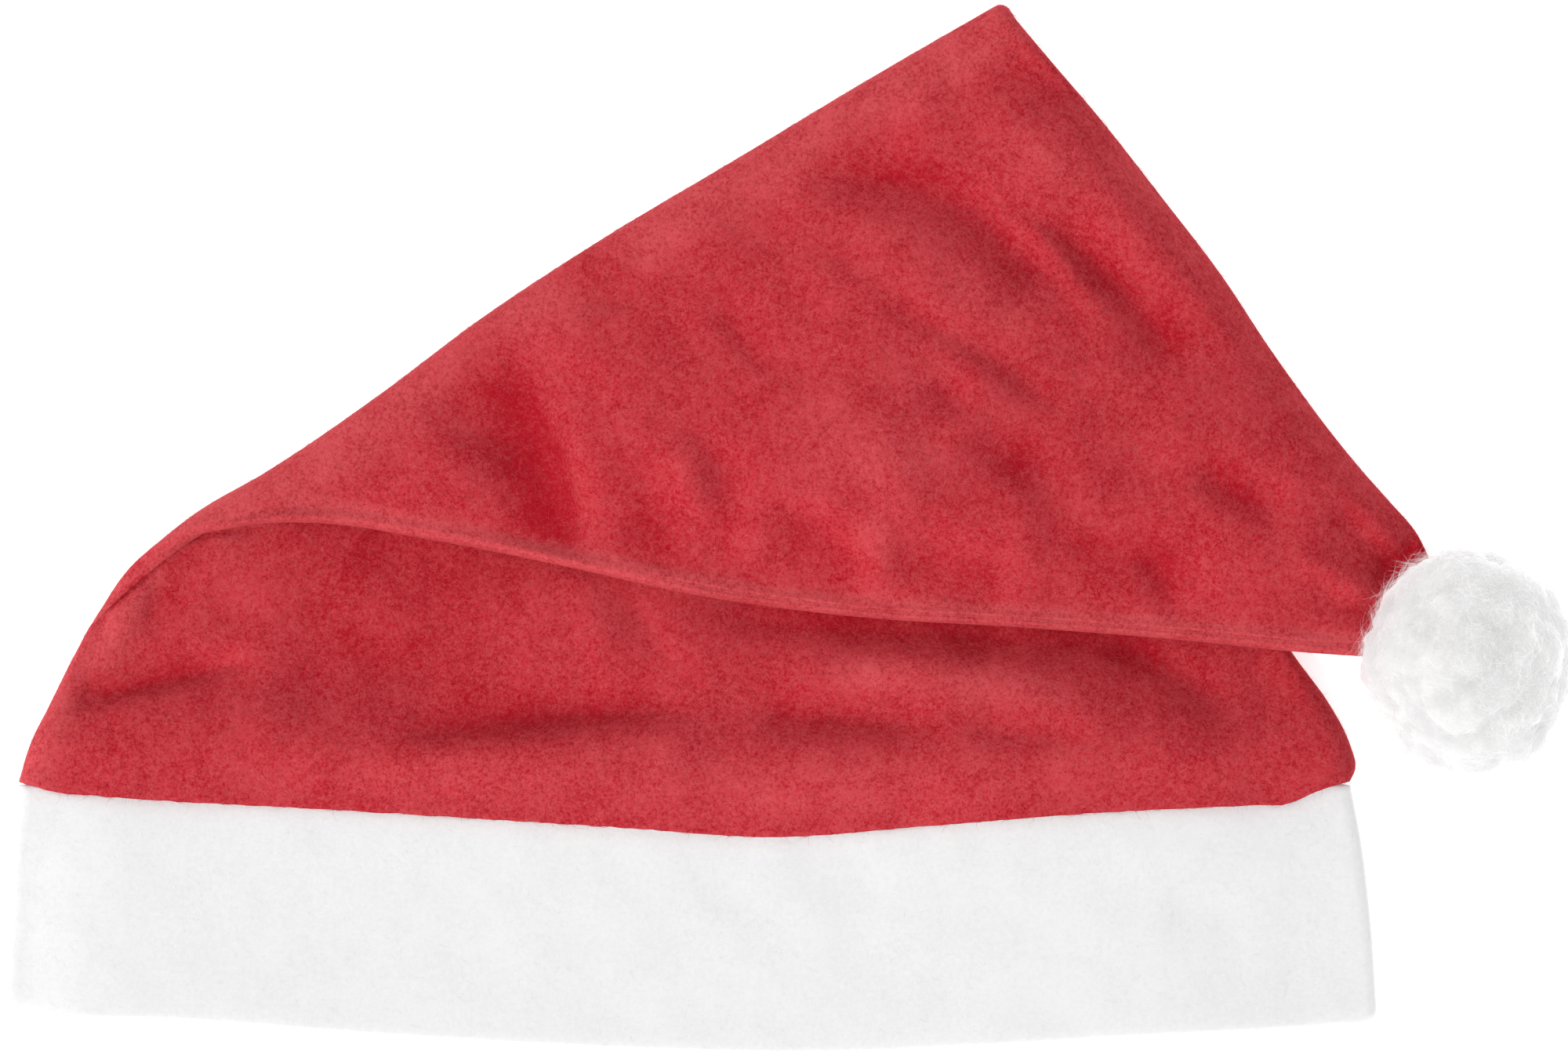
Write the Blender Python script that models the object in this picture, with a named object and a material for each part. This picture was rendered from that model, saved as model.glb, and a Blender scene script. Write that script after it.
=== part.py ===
"""Santa hat lying flat: a felt cone with its top folded over, a white brim and a pompom.

Metres, +Z up. The hat lies on z = 0 with its mouth towards -Y, and the crown's top half is folded
over towards +X, so that the pompom lies beside the brim. The cone is a flattened tube: every ring
of the loft has a near side, which faces the fold, and a far side. Under the fold the near side is
on top, and over it the far side is.
"""
import math

import bmesh
import bpy
import numpy as np
from mathutils import Vector
from mathutils.bvhtree import BVHTree

# Sizes of the hat as it lies
HAT_WIDTH = 0.290
CROWN_HEIGHT = 0.1765
BRIM_HEIGHT = 0.046
POMPOM_WIDTH = 0.044
POMPOM_LENGTH = 0.0475
POMPOM_HEIGHT = 0.041

# Walls and the room between them
FELT_WALL = 0.0015
BRIM_WALL = 0.0022
EDGE_ROOM = 0.0006
CLEARANCE = 0.0004
FLAP_GAP = 0.0012
BRIM_TUCK = 0.006
HEM_MARGIN = 0.003

# How far the soft layers stand up, and over what width they rise
BODY_PUFF = 0.0100
FLAP_PUFF = 0.0050
SIDE_RISE = 0.045
CREASE_RISE = 0.060
FLAP_RISE = 0.030
HEM_SPREAD = 0.022
DROOP_LENGTH = 0.030
FOLD_DEPTH = 0.0030
FOLD_ONSET = 0.5
SWELL_SPEED = 2.5
TIP_LIFT = 0.0020
TIP_RISE = 0.020
TIP_ROUND = 0.0045
HEM_STEP = 0.004

# Edge radii that follow from the walls
SIDE_RADIUS = FELT_WALL + EDGE_ROOM
BRIM_RADIUS = BRIM_WALL + EDGE_ROOM
HEM_INSET = FELT_WALL + CLEARANCE
HEM_RADIUS = BRIM_RADIUS + HEM_INSET
HEM_ZONE = BRIM_TUCK + HEM_MARGIN
BEND_RADIUS = FLAP_GAP / 2 + 2 * SIDE_RADIUS

# Points of the loft: along a ring's sides, round its edges, and rings along the hat
SIDE_STEPS = 15
EDGE_STEPS = 4
BODY_STEPS = 12
BEND_STEPS = 6
FLAP_STEPS = 15
CROWDING = 0.35
TIP_STEPS = 4
BRIM_SHARES = (0.0, 0.03, 0.12, 0.34, 0.56, 0.78, 0.93)
TUCK_STEPS = 2
POMPOM_POINTS = 1700
LINE_POINTS = 81

# Outlines from above, in shares of HAT_WIDTH across and CROWN_HEIGHT up from the hem's lowest point
HEM = [
    (-0.489, 0.066), (-0.463, 0.054), (-0.430, 0.049), (-0.263, 0.033), (-0.046, 0.011), (0.060, 0.000),
    (0.171, 0.013), (0.297, 0.029), (0.411, 0.038), (0.437, 0.040), (0.457, 0.055), (0.481, 0.066),
]
BODY_SEAM_SIDE = [(-0.489, 0.066), (-0.481, 0.110), (-0.467, 0.157), (-0.453, 0.204), (-0.438, 0.251)]
BODY_FOLD_SIDE = [
    (0.481, 0.066), (0.485, 0.080), (0.481, 0.112), (0.467, 0.157), (0.439, 0.221), (0.389, 0.383),
    (0.320, 0.627), (0.263, 0.871), (0.238, 0.978),
]
CREASE = [
    (-0.438, 0.251), (-0.395, 0.311), (-0.353, 0.364), (-0.302, 0.412), (-0.217, 0.507), (-0.144, 0.597),
    (-0.053, 0.695), (0.044, 0.790), (0.141, 0.886), (0.238, 0.978),
]
FLAP_SEAM_SIDE = [
    (-0.353, 0.364), (-0.314, 0.375), (-0.274, 0.376), (-0.183, 0.354), (-0.091, 0.324), (0.000, 0.291),
    (0.125, 0.263), (0.240, 0.251), (0.375, 0.233), (0.439, 0.222), (0.489, 0.216),
]
FLAP_FOLD_SIDE = [
    (0.238, 0.978), (0.261, 0.933), (0.298, 0.862), (0.343, 0.768), (0.387, 0.674), (0.425, 0.580),
    (0.490, 0.439), (0.529, 0.366), (0.542, 0.324),
]
TIP = [(0.489, 0.216), (0.542, 0.324)]

# The point of the crease over which the flap's seam side starts, counted from the seam end
FLAP_START_POINT = 2

# The brim's outlines, in shares of HAT_WIDTH across and BRIM_HEIGHT up from the hem's lowest point
MOUTH = [
    (-0.500, -0.770), (-0.480, -0.806), (-0.374, -0.849), (-0.203, -0.928), (-0.031, -0.986),
    (0.097, -1.000), (0.197, -0.975), (0.311, -0.932), (0.469, -0.874), (0.493, -0.860), (0.501, -0.817),
]
BRIM_SEAM_SIDE = [(-0.489, 0.000), (-0.494, -0.230), (-0.497, -0.500), (-0.500, -0.770)]
BRIM_FOLD_SIDE = [(0.481, 0.000), (0.490, -0.230), (0.497, -0.530), (0.501, -0.817)]

# Folds and dents: the start and end of each line in the same shares as the crown's outlines,
# its width as a share of HAT_WIDTH and its height as a share of FOLD_DEPTH, negative for a dent
BODY_FOLDS = [
    # start x, start y, end x, end y, width, height
    (-0.440, 0.170, -0.360, 0.210, 0.030, -0.90),
    (-0.460, 0.130, -0.330, 0.120, 0.030, 0.50),
    (-0.200, 0.140, -0.010, 0.148, 0.040, -0.80),
    (0.050, 0.148, 0.150, 0.138, 0.040, -0.60),
    (0.320, 0.210, 0.390, 0.150, 0.035, -0.70),
    (-0.068, 0.300, -0.055, 0.190, 0.030, 0.80),
    (-0.250, 0.060, 0.000, 0.050, 0.040, 0.40),
    (0.120, 0.050, 0.340, 0.060, 0.040, 0.40),
]
FLAP_FOLDS = [
    (-0.160, 0.585, -0.100, 0.350, 0.040, -1.00),
    (0.110, 0.775, 0.290, 0.640, 0.040, -0.90),
    (0.290, 0.660, 0.350, 0.580, 0.035, -0.80),
    (0.250, 0.690, 0.300, 0.640, 0.030, 0.50),
    (0.090, 0.700, 0.270, 0.540, 0.035, -0.45),
    (0.000, 0.400, 0.000, 0.330, 0.030, 0.60),
    (0.310, 0.340, 0.350, 0.305, 0.030, -0.40),
]
BRIM_FOLDS = [
    (0.030, -0.010, 0.060, -0.200, 0.030, -0.40),
    (0.110, -0.040, 0.070, -0.200, 0.030, -0.40),
    (-0.300, -0.020, -0.310, -0.180, 0.060, 0.40),
    (0.330, -0.030, 0.420, -0.170, 0.050, -0.50),
]

# The pompom: where its middle lies from the tip, as shares of its own sizes, its outline from above
# as a share of the full ellipse every 45 degrees from +X, and the locks that its cotton is in
POMPOM_OFFSET = (0.325, -0.228)
POMPOM_OUTLINE = (1.00, 1.01, 1.00, 0.95, 0.97, 0.86, 1.00, 0.99)
POMPOM_LOCKS = 46
LOCK_DEPTH = 0.0060
LOCK_WIDTH = 0.0085
LOCK_STRETCH = 1.9
LOCK_SCATTER = 0.10
LOCK_SIZES = (0.85, 1.2)
LOCK_HEIGHTS = (0.75, 1.0)
CREST_SHARE = 0.75
PRESSED_SHARE = 0.35
REST_DEPTH = 0.0012
LOCK_ROOM = 0.0004


def crown_points(shares):
    """Places of the crown's outline points."""
    return [(x * HAT_WIDTH, y * CROWN_HEIGHT) for x, y in shares]


def brim_points(shares):
    """Places of the brim's outline points below the hem."""
    return [(x * HAT_WIDTH, y * BRIM_HEIGHT) for x, y in shares]


def brim_side(shares, hem_end):
    """The brim's side edge, which runs down from the hem's end to the mouth."""
    end = shares[-1][1] * BRIM_HEIGHT
    return [(x * HAT_WIDTH, hem_end[1] + (end - hem_end[1]) * y / shares[-1][1]) for x, y in shares]


def joined(brim, crown):
    """One side edge from the mouth to the crease, from the brim's side and the crown's."""
    return Curve(list(brim.points[::-Curve.FINE]) + list(crown.points[Curve.FINE::Curve.FINE]))


class Curve:
    """A smooth curve through a few points in plan, read by the share of its length."""

    FINE = 12

    def __init__(self, points):
        knots = np.array(points, dtype=float)
        ends = np.vstack([2 * knots[0] - knots[1], knots, 2 * knots[-1] - knots[-2]])
        t = np.arange(self.FINE)[:, None] / self.FINE
        pieces = []
        for a, b, c, d in zip(ends, ends[1:], ends[2:], ends[3:]):
            before, span, after = (np.linalg.norm(q - p) for p, q in ((a, b), (b, c), (c, d)))
            leave = ((b - a) / before * span + (c - b) / span * before) / (before + span) * span
            arrive = ((c - b) / span * after + (d - c) / after * span) / (span + after) * span
            pieces.append(b * (2 * t**3 - 3 * t**2 + 1) + leave * (t**3 - 2 * t**2 + t)
                          + c * (3 * t**2 - 2 * t**3) + arrive * (t**3 - t**2))
        self.points = np.vstack(pieces + [knots[-1:]])
        lengths = np.linalg.norm(np.diff(self.points, axis=0), axis=1)
        self.along = np.concatenate([[0.0], np.cumsum(lengths)])
        self.length = self.along[-1]

    def __call__(self, share):
        along = np.asarray(share) * self.length
        return np.stack([np.interp(along, self.along, self.points[:, k]) for k in (0, 1)], axis=-1)

    def distance(self, places):
        """Distance of each place from the curve, positive to the left of its direction."""
        start = self.points[:-1]
        run = np.diff(self.points, axis=0)
        away = places[:, None, :] - start[None]
        share = np.clip((away * run).sum(-1) / (run * run).sum(-1), 0.0, 1.0)
        gap = away - share[..., None] * run
        far = np.linalg.norm(gap, axis=-1)
        nearest = far.argmin(axis=1)
        pick = np.arange(len(places))
        turn = run[nearest, 0] * gap[pick, nearest, 1] - run[nearest, 1] * gap[pick, nearest, 0]
        return np.where(turn < 0, -1.0, 1.0) * far[pick, nearest]


def patch(low, high, seam_side, fold_side):
    """Plan surface between four curves, read by the share along the sides and across."""
    def place(along, across):
        across = np.asarray(across)[..., None]
        flat = across[..., 0]
        sides = (1 - across) * seam_side(along) + across * fold_side(along)
        ends = (1 - along) * low(flat) + along * high(flat)
        corners = ((1 - along) * ((1 - across) * low(0.0) + across * low(1.0))
                   + along * ((1 - across) * high(0.0) + across * high(1.0)))
        return sides + ends - corners
    return place


def smooth(share):
    """A rise from 0 to 1 that starts and ends level."""
    share = np.clip(share, 0.0, 1.0)
    return share * share * (3 - 2 * share)


def swell(share):
    """A rise from 0 to 1 that starts level and goes on slowly."""
    return 1 - np.exp(-np.clip(share, 0.0, None) ** 2 * SWELL_SPEED)


hem = Curve(crown_points(HEM))
body_seam_side = Curve(crown_points(BODY_SEAM_SIDE))
body_fold_side = Curve(crown_points(BODY_FOLD_SIDE))
crease = Curve(crown_points(CREASE))
flap_seam_side = Curve(crown_points(FLAP_SEAM_SIDE))
flap_fold_side = Curve(crown_points(FLAP_FOLD_SIDE))
tip = Curve(crown_points(TIP))
mouth = Curve(brim_points(MOUTH))
brim_seam_side = Curve(brim_side(BRIM_SEAM_SIDE, hem(0.0)))
brim_fold_side = Curve(brim_side(BRIM_FOLD_SIDE, hem(1.0)))
whole_seam_side = joined(brim_seam_side, body_seam_side)
whole_fold_side = joined(brim_fold_side, body_fold_side)

# Where the flap starts along the crease, and the way in plan that the bend faces
flap_start = crease.along[FLAP_START_POINT * Curve.FINE] / crease.length
crease_run = crease(1.0) - crease(flap_start)
outward = np.array([-crease_run[1], crease_run[0]]) / np.linalg.norm(crease_run)


def flap_crease(across):
    """The crease over the flap alone."""
    return crease(flap_start + (1 - flap_start) * np.asarray(across))


def raised_hem(depth):
    """The hem's line moved up into the crown by a depth along both side edges."""
    seam_move = body_seam_side(depth / body_seam_side.length) - hem(0.0)
    fold_move = body_fold_side(depth / body_fold_side.length) - hem(1.0)

    def place(across):
        share = np.asarray(across)[..., None]
        return hem(across) + (1 - share) * seam_move + share * fold_move
    return place


def rest_of(side, start):
    """A side curve from a length past its start to its end."""
    skipped = start / side.length
    return lambda along: side(skipped + (1 - skipped) * np.asarray(along))


body_patch = patch(raised_hem(HEM_ZONE), crease, rest_of(body_seam_side, HEM_ZONE),
                   rest_of(body_fold_side, HEM_ZONE))
flap_patch = patch(flap_crease, tip, flap_seam_side, flap_fold_side)
brim_patch = patch(hem, mouth, brim_seam_side, brim_fold_side)


def folds(table, upward, places):
    """Height that a table's folds add at each place; its shares upward are of the given size."""
    height = np.zeros(len(places))
    for x0, y0, x1, y1, width, rise in table:
        start, end = (np.array([x * HAT_WIDTH, y * upward]) for x, y in ((x0, y0), (x1, y1)))
        run = end - start
        share = np.clip((places - start) @ run / (run @ run), 0.0, 1.0)
        off = np.linalg.norm(places - start - share[:, None] * run, axis=1)
        height += rise * FOLD_DEPTH * np.exp(-(off / (width * HAT_WIDTH)) ** 2)
    return height


def puff(places):
    """How far the lower layer stands up between its side edges and the crease."""
    from_seam = -whole_seam_side.distance(places)
    from_fold = whole_fold_side.distance(places)
    from_crease = np.abs(crease.distance(places))
    sides = swell(from_seam / SIDE_RISE) * swell(from_fold / SIDE_RISE)
    return sides * swell(from_crease / CREASE_RISE), sides


def lower_top(places, radius):
    """Top of the lower layer, crown or brim, whose edges have the given radius."""
    rise, sides = puff(places)
    relief = folds(BODY_FOLDS, CROWN_HEIGHT, places) + folds(BRIM_FOLDS, BRIM_HEIGHT, places)
    return 2 * radius + BODY_PUFF * rise + relief * sides * smooth(rise / FOLD_ONSET)


def crown_radius(places):
    """Edge radius of the crown's lower layer, which is thicker where it holds the brim."""
    from_hem = np.abs(hem.distance(places))
    spread = smooth(1 - (from_hem - HEM_ZONE) / HEM_SPREAD)
    return SIDE_RADIUS + (HEM_RADIUS - SIDE_RADIUS) * spread


def body_top(places):
    """Top of the crown's lower layer."""
    return lower_top(places, crown_radius(places))


def flap_bottom(places):
    """Underside of the flap, which lies on the lower layer and droops past its side."""
    past = -whole_fold_side.distance(places)
    droop = 1 - smooth(past / DROOP_LENGTH)
    support = np.where(past > 0, 2 * SIDE_RADIUS, body_top(places))
    from_tip = np.linalg.norm(places - tip(0.5), axis=1)
    return (support + FLAP_GAP) * droop + TIP_LIFT * smooth(1 - from_tip / TIP_RISE)


def flap_top(places):
    """Visible top of the flap."""
    from_sides = swell(flap_seam_side.distance(places) / FLAP_RISE)
    from_sides = from_sides * swell(-flap_fold_side.distance(places) / FLAP_RISE)
    rise = from_sides * swell(np.abs(crease.distance(places)) / FLAP_RISE)
    relief = folds(FLAP_FOLDS, CROWN_HEIGHT, places)
    thickness = 2 * SIDE_RADIUS + FLAP_PUFF * rise + relief * smooth(rise / FOLD_ONSET)
    return flap_bottom(places) + thickness


def floor(places):
    """The surface that the hat lies on."""
    return np.zeros(len(places))


def ring_layout(width, seam_radius, fold_radius, inset):
    """Distance from the seam end, and level, of every point round a ring.

    The level goes from -1 on the far side to 1 on the near side.
    """
    turns = np.linspace(-math.pi / 2, math.pi / 2, EDGE_STEPS + 1)
    shares = np.arange(1, SIDE_STEPS) / SIDE_STEPS
    inner = seam_radius + (width - seam_radius - fold_radius) * shares
    seam_edge = inset + (seam_radius - inset) * (1 - np.cos(turns))
    fold_edge = width - inset - (fold_radius - inset) * (1 - np.cos(turns))
    flat = np.ones(len(inner))
    distance = np.concatenate([seam_edge, inner, fold_edge, inner[::-1]])
    level = np.concatenate([np.sin(turns), flat, np.sin(turns[::-1]), -flat])
    return distance, level


def ring_places(place, seam_radius, fold_radius, inset):
    """Plan places and levels of a ring's points on a plan line."""
    line = place(np.linspace(0.0, 1.0, LINE_POINTS))
    along = np.concatenate([[0.0], np.cumsum(np.linalg.norm(np.diff(line, axis=0), axis=1))])
    distance, level = ring_layout(along[-1], seam_radius, fold_radius, inset)
    return np.stack([np.interp(distance, along, line[:, k]) for k in (0, 1)], axis=-1), level


def flat_ring(place, near, far, radii, inset):
    """One ring of the flattened tube where it lies flat."""
    places, level = ring_places(place, *radii, inset)
    high, low = near(places), far(places)
    half = np.abs(high - low) / 2 - inset
    return np.column_stack([places, (high + low) / 2 + np.sign(high - low) * level * half])


def bend_ring(turn, inset):
    """One ring of the tube where it bends over the crease by a turn from 0 to pi."""
    start = flap_start * turn / math.pi
    places, level = ring_places(lambda across: crease(start + (1 - start) * across),
                                SIDE_RADIUS, SIDE_RADIUS, inset)
    reach = FLAP_GAP / 2 + SIDE_RADIUS - level * (SIDE_RADIUS - inset)
    plan = places + np.outer(reach * math.sin(turn), outward)
    return np.column_stack([plan, BEND_RADIUS - reach * math.cos(turn)])


def body_ring(place, inset):
    """A ring of the crown's lower layer."""
    return flat_ring(place, body_top, floor, crown_radius(place(np.array([0.0, 1.0]))), inset)


def crown_rings(inset):
    """Every ring of the crown from the hem to the tip, on the outside or inset by the wall."""
    rings = [body_ring(raised_hem(BRIM_TUCK * step / TUCK_STEPS), inset) for step in range(TUCK_STEPS + 1)]
    for step in range(BODY_STEPS):
        along = step / BODY_STEPS
        rings.append(body_ring(lambda across, along=along: body_patch(along, across), inset))
    for step in range(BEND_STEPS + 1):
        rings.append(bend_ring(math.pi * step / BEND_STEPS, inset))
    for step in range(1, FLAP_STEPS + 1):
        share = step / FLAP_STEPS
        along = share * (1 + CROWDING * (1 - share))
        rings.append(flat_ring(lambda across, along=along: flap_patch(along, across),
                               flap_bottom, flap_top, (SIDE_RADIUS, SIDE_RADIUS), inset))
    return rings


def close_ring(ring, forward, depth):
    """Rings that round off the open end of a tube, and the point that they meet in."""
    middle = ring.mean(axis=0)
    way = np.append(forward, 0.0)
    rings = []
    for step in range(1, TIP_STEPS):
        turn = math.pi / 2 * step / TIP_STEPS
        rings.append(middle + (ring - middle) * math.cos(turn) + way * depth * math.sin(turn))
    return rings, middle + way * depth


def add_tube(shape, rings, turned):
    """Quads between the rings, and the vertices of each ring."""
    rows = [[shape.verts.new(point) for point in ring] for ring in rings]
    for low, high in zip(rows, rows[1:]):
        for k in range(len(low)):
            after = (k + 1) % len(low)
            corners = [low[k], low[after], high[after], high[k]]
            shape.faces.new(corners[::-1] if turned else corners)
    return rows


def add_fan(shape, row, point, turned):
    """Closes a ring with triangles to one point."""
    middle = shape.verts.new(point)
    for k in range(len(row)):
        corners = [row[k], row[(k + 1) % len(row)], middle]
        shape.faces.new(corners[::-1] if turned else corners)


def join_rims(shape, outer, inner):
    """The cut edge between an outer and an inner ring."""
    for k in range(len(outer)):
        after = (k + 1) % len(outer)
        shape.faces.new([outer[after], outer[k], inner[k], inner[after]])


def finish(shape, name, colour, roughness):
    """Makes the object from a bmesh, triangulated and facing out, with its material."""
    bmesh.ops.triangulate(shape, faces=shape.faces[:], quad_method="FIXED")
    bmesh.ops.recalc_face_normals(shape, faces=shape.faces[:])
    mesh = bpy.data.meshes.new(name)
    shape.to_mesh(mesh)
    shape.free()
    mesh.shade_smooth()
    material = bpy.data.materials.new(name + " finish")
    material.use_nodes = True
    shader = material.node_tree.nodes["Principled BSDF"]
    shader.inputs["Base Color"].default_value = (*colour, 1.0)
    shader.inputs["Roughness"].default_value = roughness
    shader.inputs["Metallic"].default_value = 0.0
    mesh.materials.append(material)
    piece = bpy.data.objects.new(name, mesh)
    bpy.context.scene.collection.objects.link(piece)
    return piece


def make_crown():
    """The felt cone: outer and inner surface, a cut hem and a closed tip."""
    shape = bmesh.new()
    outer, inner = crown_rings(0.0), crown_rings(FELT_WALL)
    forward = tip(0.5) - flap_patch(0.9, np.array([0.5]))[0]
    forward = forward / np.linalg.norm(forward)
    hems = []
    for rings, depth, turned in ((outer, TIP_ROUND, False), (inner, TIP_ROUND - FELT_WALL, True)):
        caps, end = close_ring(rings[-1], forward, depth)
        rows = add_tube(shape, rings + caps, turned)
        add_fan(shape, rows[-1], end, turned)
        hems.append(rows[0])
    join_rims(shape, *hems)
    return finish(shape, "crown", (0.51, 0.037, 0.048), 0.95)


def tucked_ring(depth, inset):
    """A ring of the brim inside the crown's hem, clear of the crown's wall."""
    return body_ring(raised_hem(depth), HEM_INSET + inset)


def brim_ring(share, inset):
    """A ring of the brim below the hem, where it spreads out from the tuck onto the floor."""
    tucked = 1 - smooth(share * BRIM_HEIGHT / HEM_STEP)
    radius = BRIM_RADIUS + HEM_INSET * tucked
    return flat_ring(lambda across: brim_patch(share, across), lambda places: lower_top(places, radius),
                     floor, (radius, radius), inset + HEM_INSET * tucked)


def make_band():
    """The brim: a flattened ring, its upper edge tucked inside the crown's hem."""
    shape = bmesh.new()
    tucks = [BRIM_TUCK * (1 - step / TUCK_STEPS) for step in range(TUCK_STEPS)]
    rim = 1.0 - BRIM_WALL / 2 / BRIM_HEIGHT
    surfaces = []
    for inset in (0.0, BRIM_WALL):
        rings = [tucked_ring(depth, inset) for depth in tucks]
        rings += [brim_ring(share, inset) for share in BRIM_SHARES + (rim,)]
        surfaces.append(rings)
    outer, inner = surfaces
    outer.append(brim_ring(1.0, BRIM_WALL / 2))
    outer_rows = add_tube(shape, outer, True)
    inner_rows = add_tube(shape, inner, False)
    join_rims(shape, inner_rows[0], outer_rows[0])
    join_rims(shape, outer_rows[-1], inner_rows[-1])
    return finish(shape, "band", (0.87, 0.87, 0.875), 0.95)


def even_directions(count):
    """Directions spread evenly over a ball."""
    index = np.arange(count) + 0.5
    height = 1 - 2 * index / count
    turn = index * math.pi * (3 - math.sqrt(5))
    flat = np.sqrt(1 - height**2)
    return np.column_stack([flat * np.cos(turn), flat * np.sin(turn), height])


def lock_relief(directions):
    """Height of the pompom's locks in each direction, from 0 in a parting to 1 on a crest."""
    draw = np.random.default_rng(5)
    middles = even_directions(POMPOM_LOCKS) + draw.normal(0, LOCK_SCATTER, (POMPOM_LOCKS, 3))
    middles /= np.linalg.norm(middles, axis=1)[:, None]
    radius = (POMPOM_WIDTH + POMPOM_LENGTH + POMPOM_HEIGHT) / 6
    crest = np.zeros(len(directions))
    for middle in middles:
        lay = np.cross(middle, draw.normal(0, 1, 3))
        lay /= np.linalg.norm(lay)
        across = np.cross(middle, lay)
        size = draw.uniform(*LOCK_SIZES) * LOCK_WIDTH / radius
        off = np.hypot(directions @ lay / (size * LOCK_STRETCH), directions @ across / size)
        height = np.sqrt(np.clip(1 - off**2, 0.0, 1.0)) * draw.uniform(*LOCK_HEIGHTS)
        crest = np.maximum(crest, np.where(directions @ middle > 0, height, 0.0))
    return crest


def pompom_reach(directions):
    """How far the pompom reaches from its middle in each direction, pressed flat underneath."""
    half = np.array([POMPOM_WIDTH, POMPOM_LENGTH, POMPOM_HEIGHT]) / 2
    azimuth = np.degrees(np.arctan2(directions[:, 1], directions[:, 0])) % 360
    corners = np.linspace(0, 360, len(POMPOM_OUTLINE) + 1)
    outline = np.interp(azimuth, corners, POMPOM_OUTLINE + POMPOM_OUTLINE[:1])
    level = np.hypot(directions[:, 0], directions[:, 1])
    ball = (1 + (outline - 1) * level) / np.linalg.norm(directions / half, axis=1)
    pressed = smooth((1 + directions[:, 2]) / PRESSED_SHARE)
    return ball + LOCK_DEPTH * (lock_relief(directions) - CREST_SHARE) * pressed


def make_pompom(crown):
    """The cotton ball: locks fused to one closed form, clear of the crown's tip."""
    offset = np.array(POMPOM_OFFSET) * (POMPOM_WIDTH, POMPOM_LENGTH)
    middle = Vector((*(tip(0.5) + offset), POMPOM_HEIGHT / 2 - REST_DEPTH))
    felt = BVHTree.FromPolygons([v.co for v in crown.data.vertices],
                                [p.vertices for p in crown.data.polygons])
    room = CLEARANCE + LOCK_ROOM
    directions = even_directions(POMPOM_POINTS)
    shape = bmesh.new()
    for way in directions:
        shape.verts.new(way)
    bmesh.ops.convex_hull(shape, input=shape.verts[:])
    shape.verts.ensure_lookup_table()
    for vertex, length in zip(shape.verts, pompom_reach(directions)):
        way = vertex.co.copy()
        hit = felt.ray_cast(middle, way, length + room)[3]
        length = min(length, hit - room) if hit else length
        while felt.find_nearest(middle + way * length)[3] < room:
            length -= CLEARANCE
        point = middle + way * length
        vertex.co = (point.x, point.y, max(point.z, 0.0))
    return finish(shape, "pompom", (0.83, 0.82, 0.82), 1.0)


def settle(pieces):
    """Moves the hat so that the middle of its box stands on the origin."""
    corners = np.vstack([[v.co for v in piece.data.vertices] for piece in pieces])
    low, high = corners.min(axis=0), corners.max(axis=0)
    shift = Vector((-(low[0] + high[0]) / 2, -(low[1] + high[1]) / 2, -low[2]))
    for piece in pieces:
        for vertex in piece.data.vertices:
            vertex.co += shift


def main():
    """Builds the hat in an empty scene."""
    for old in list(bpy.data.objects):
        bpy.data.objects.remove(old)
    crown = make_crown()
    band = make_band()
    pompom = make_pompom(crown)
    settle([crown, band, pompom])


main()
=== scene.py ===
"""Santa hat lying flat: its felt, fleece and cotton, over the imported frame.

Metres, +Z up. The crown and the band are lofted again from the frame's own outlines, with finer
points, all their folds and the seam. The pompom is made again from its locks. The pile is thin
closed fibres, joined to four meshes.
"""
import math
from collections import namedtuple

import bmesh
import bpy
import numpy as np
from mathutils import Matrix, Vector
from mathutils.bvhtree import BVHTree


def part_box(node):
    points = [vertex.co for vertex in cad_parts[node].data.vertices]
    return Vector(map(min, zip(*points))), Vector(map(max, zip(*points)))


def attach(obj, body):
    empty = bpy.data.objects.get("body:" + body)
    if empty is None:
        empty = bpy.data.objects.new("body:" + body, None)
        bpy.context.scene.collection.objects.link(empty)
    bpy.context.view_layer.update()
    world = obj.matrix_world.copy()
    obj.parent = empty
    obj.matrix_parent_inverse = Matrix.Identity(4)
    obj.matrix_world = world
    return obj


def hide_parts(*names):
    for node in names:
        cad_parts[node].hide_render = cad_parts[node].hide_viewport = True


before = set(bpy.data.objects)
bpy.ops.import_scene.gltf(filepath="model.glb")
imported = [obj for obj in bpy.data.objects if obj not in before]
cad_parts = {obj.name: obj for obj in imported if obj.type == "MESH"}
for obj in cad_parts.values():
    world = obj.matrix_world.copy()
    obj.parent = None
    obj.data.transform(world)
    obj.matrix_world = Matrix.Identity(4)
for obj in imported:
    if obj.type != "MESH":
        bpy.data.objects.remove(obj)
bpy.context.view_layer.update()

# Sizes of the hat as it lies, as in the frame
HAT_WIDTH = 0.290
CROWN_HEIGHT = 0.1765
BRIM_HEIGHT = 0.046
POMPOM_WIDTH = 0.044
POMPOM_LENGTH = 0.0475
POMPOM_HEIGHT = 0.041

# Walls and the room between them
FELT_WALL = 0.0015
BRIM_WALL = 0.0022
EDGE_ROOM = 0.0006
CLEARANCE = 0.0004
FLAP_GAP = 0.0012
INNER_ROOM = 0.0006
EASE = 0.0004
BRIM_TUCK = 0.006
HEM_MARGIN = 0.003

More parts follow.
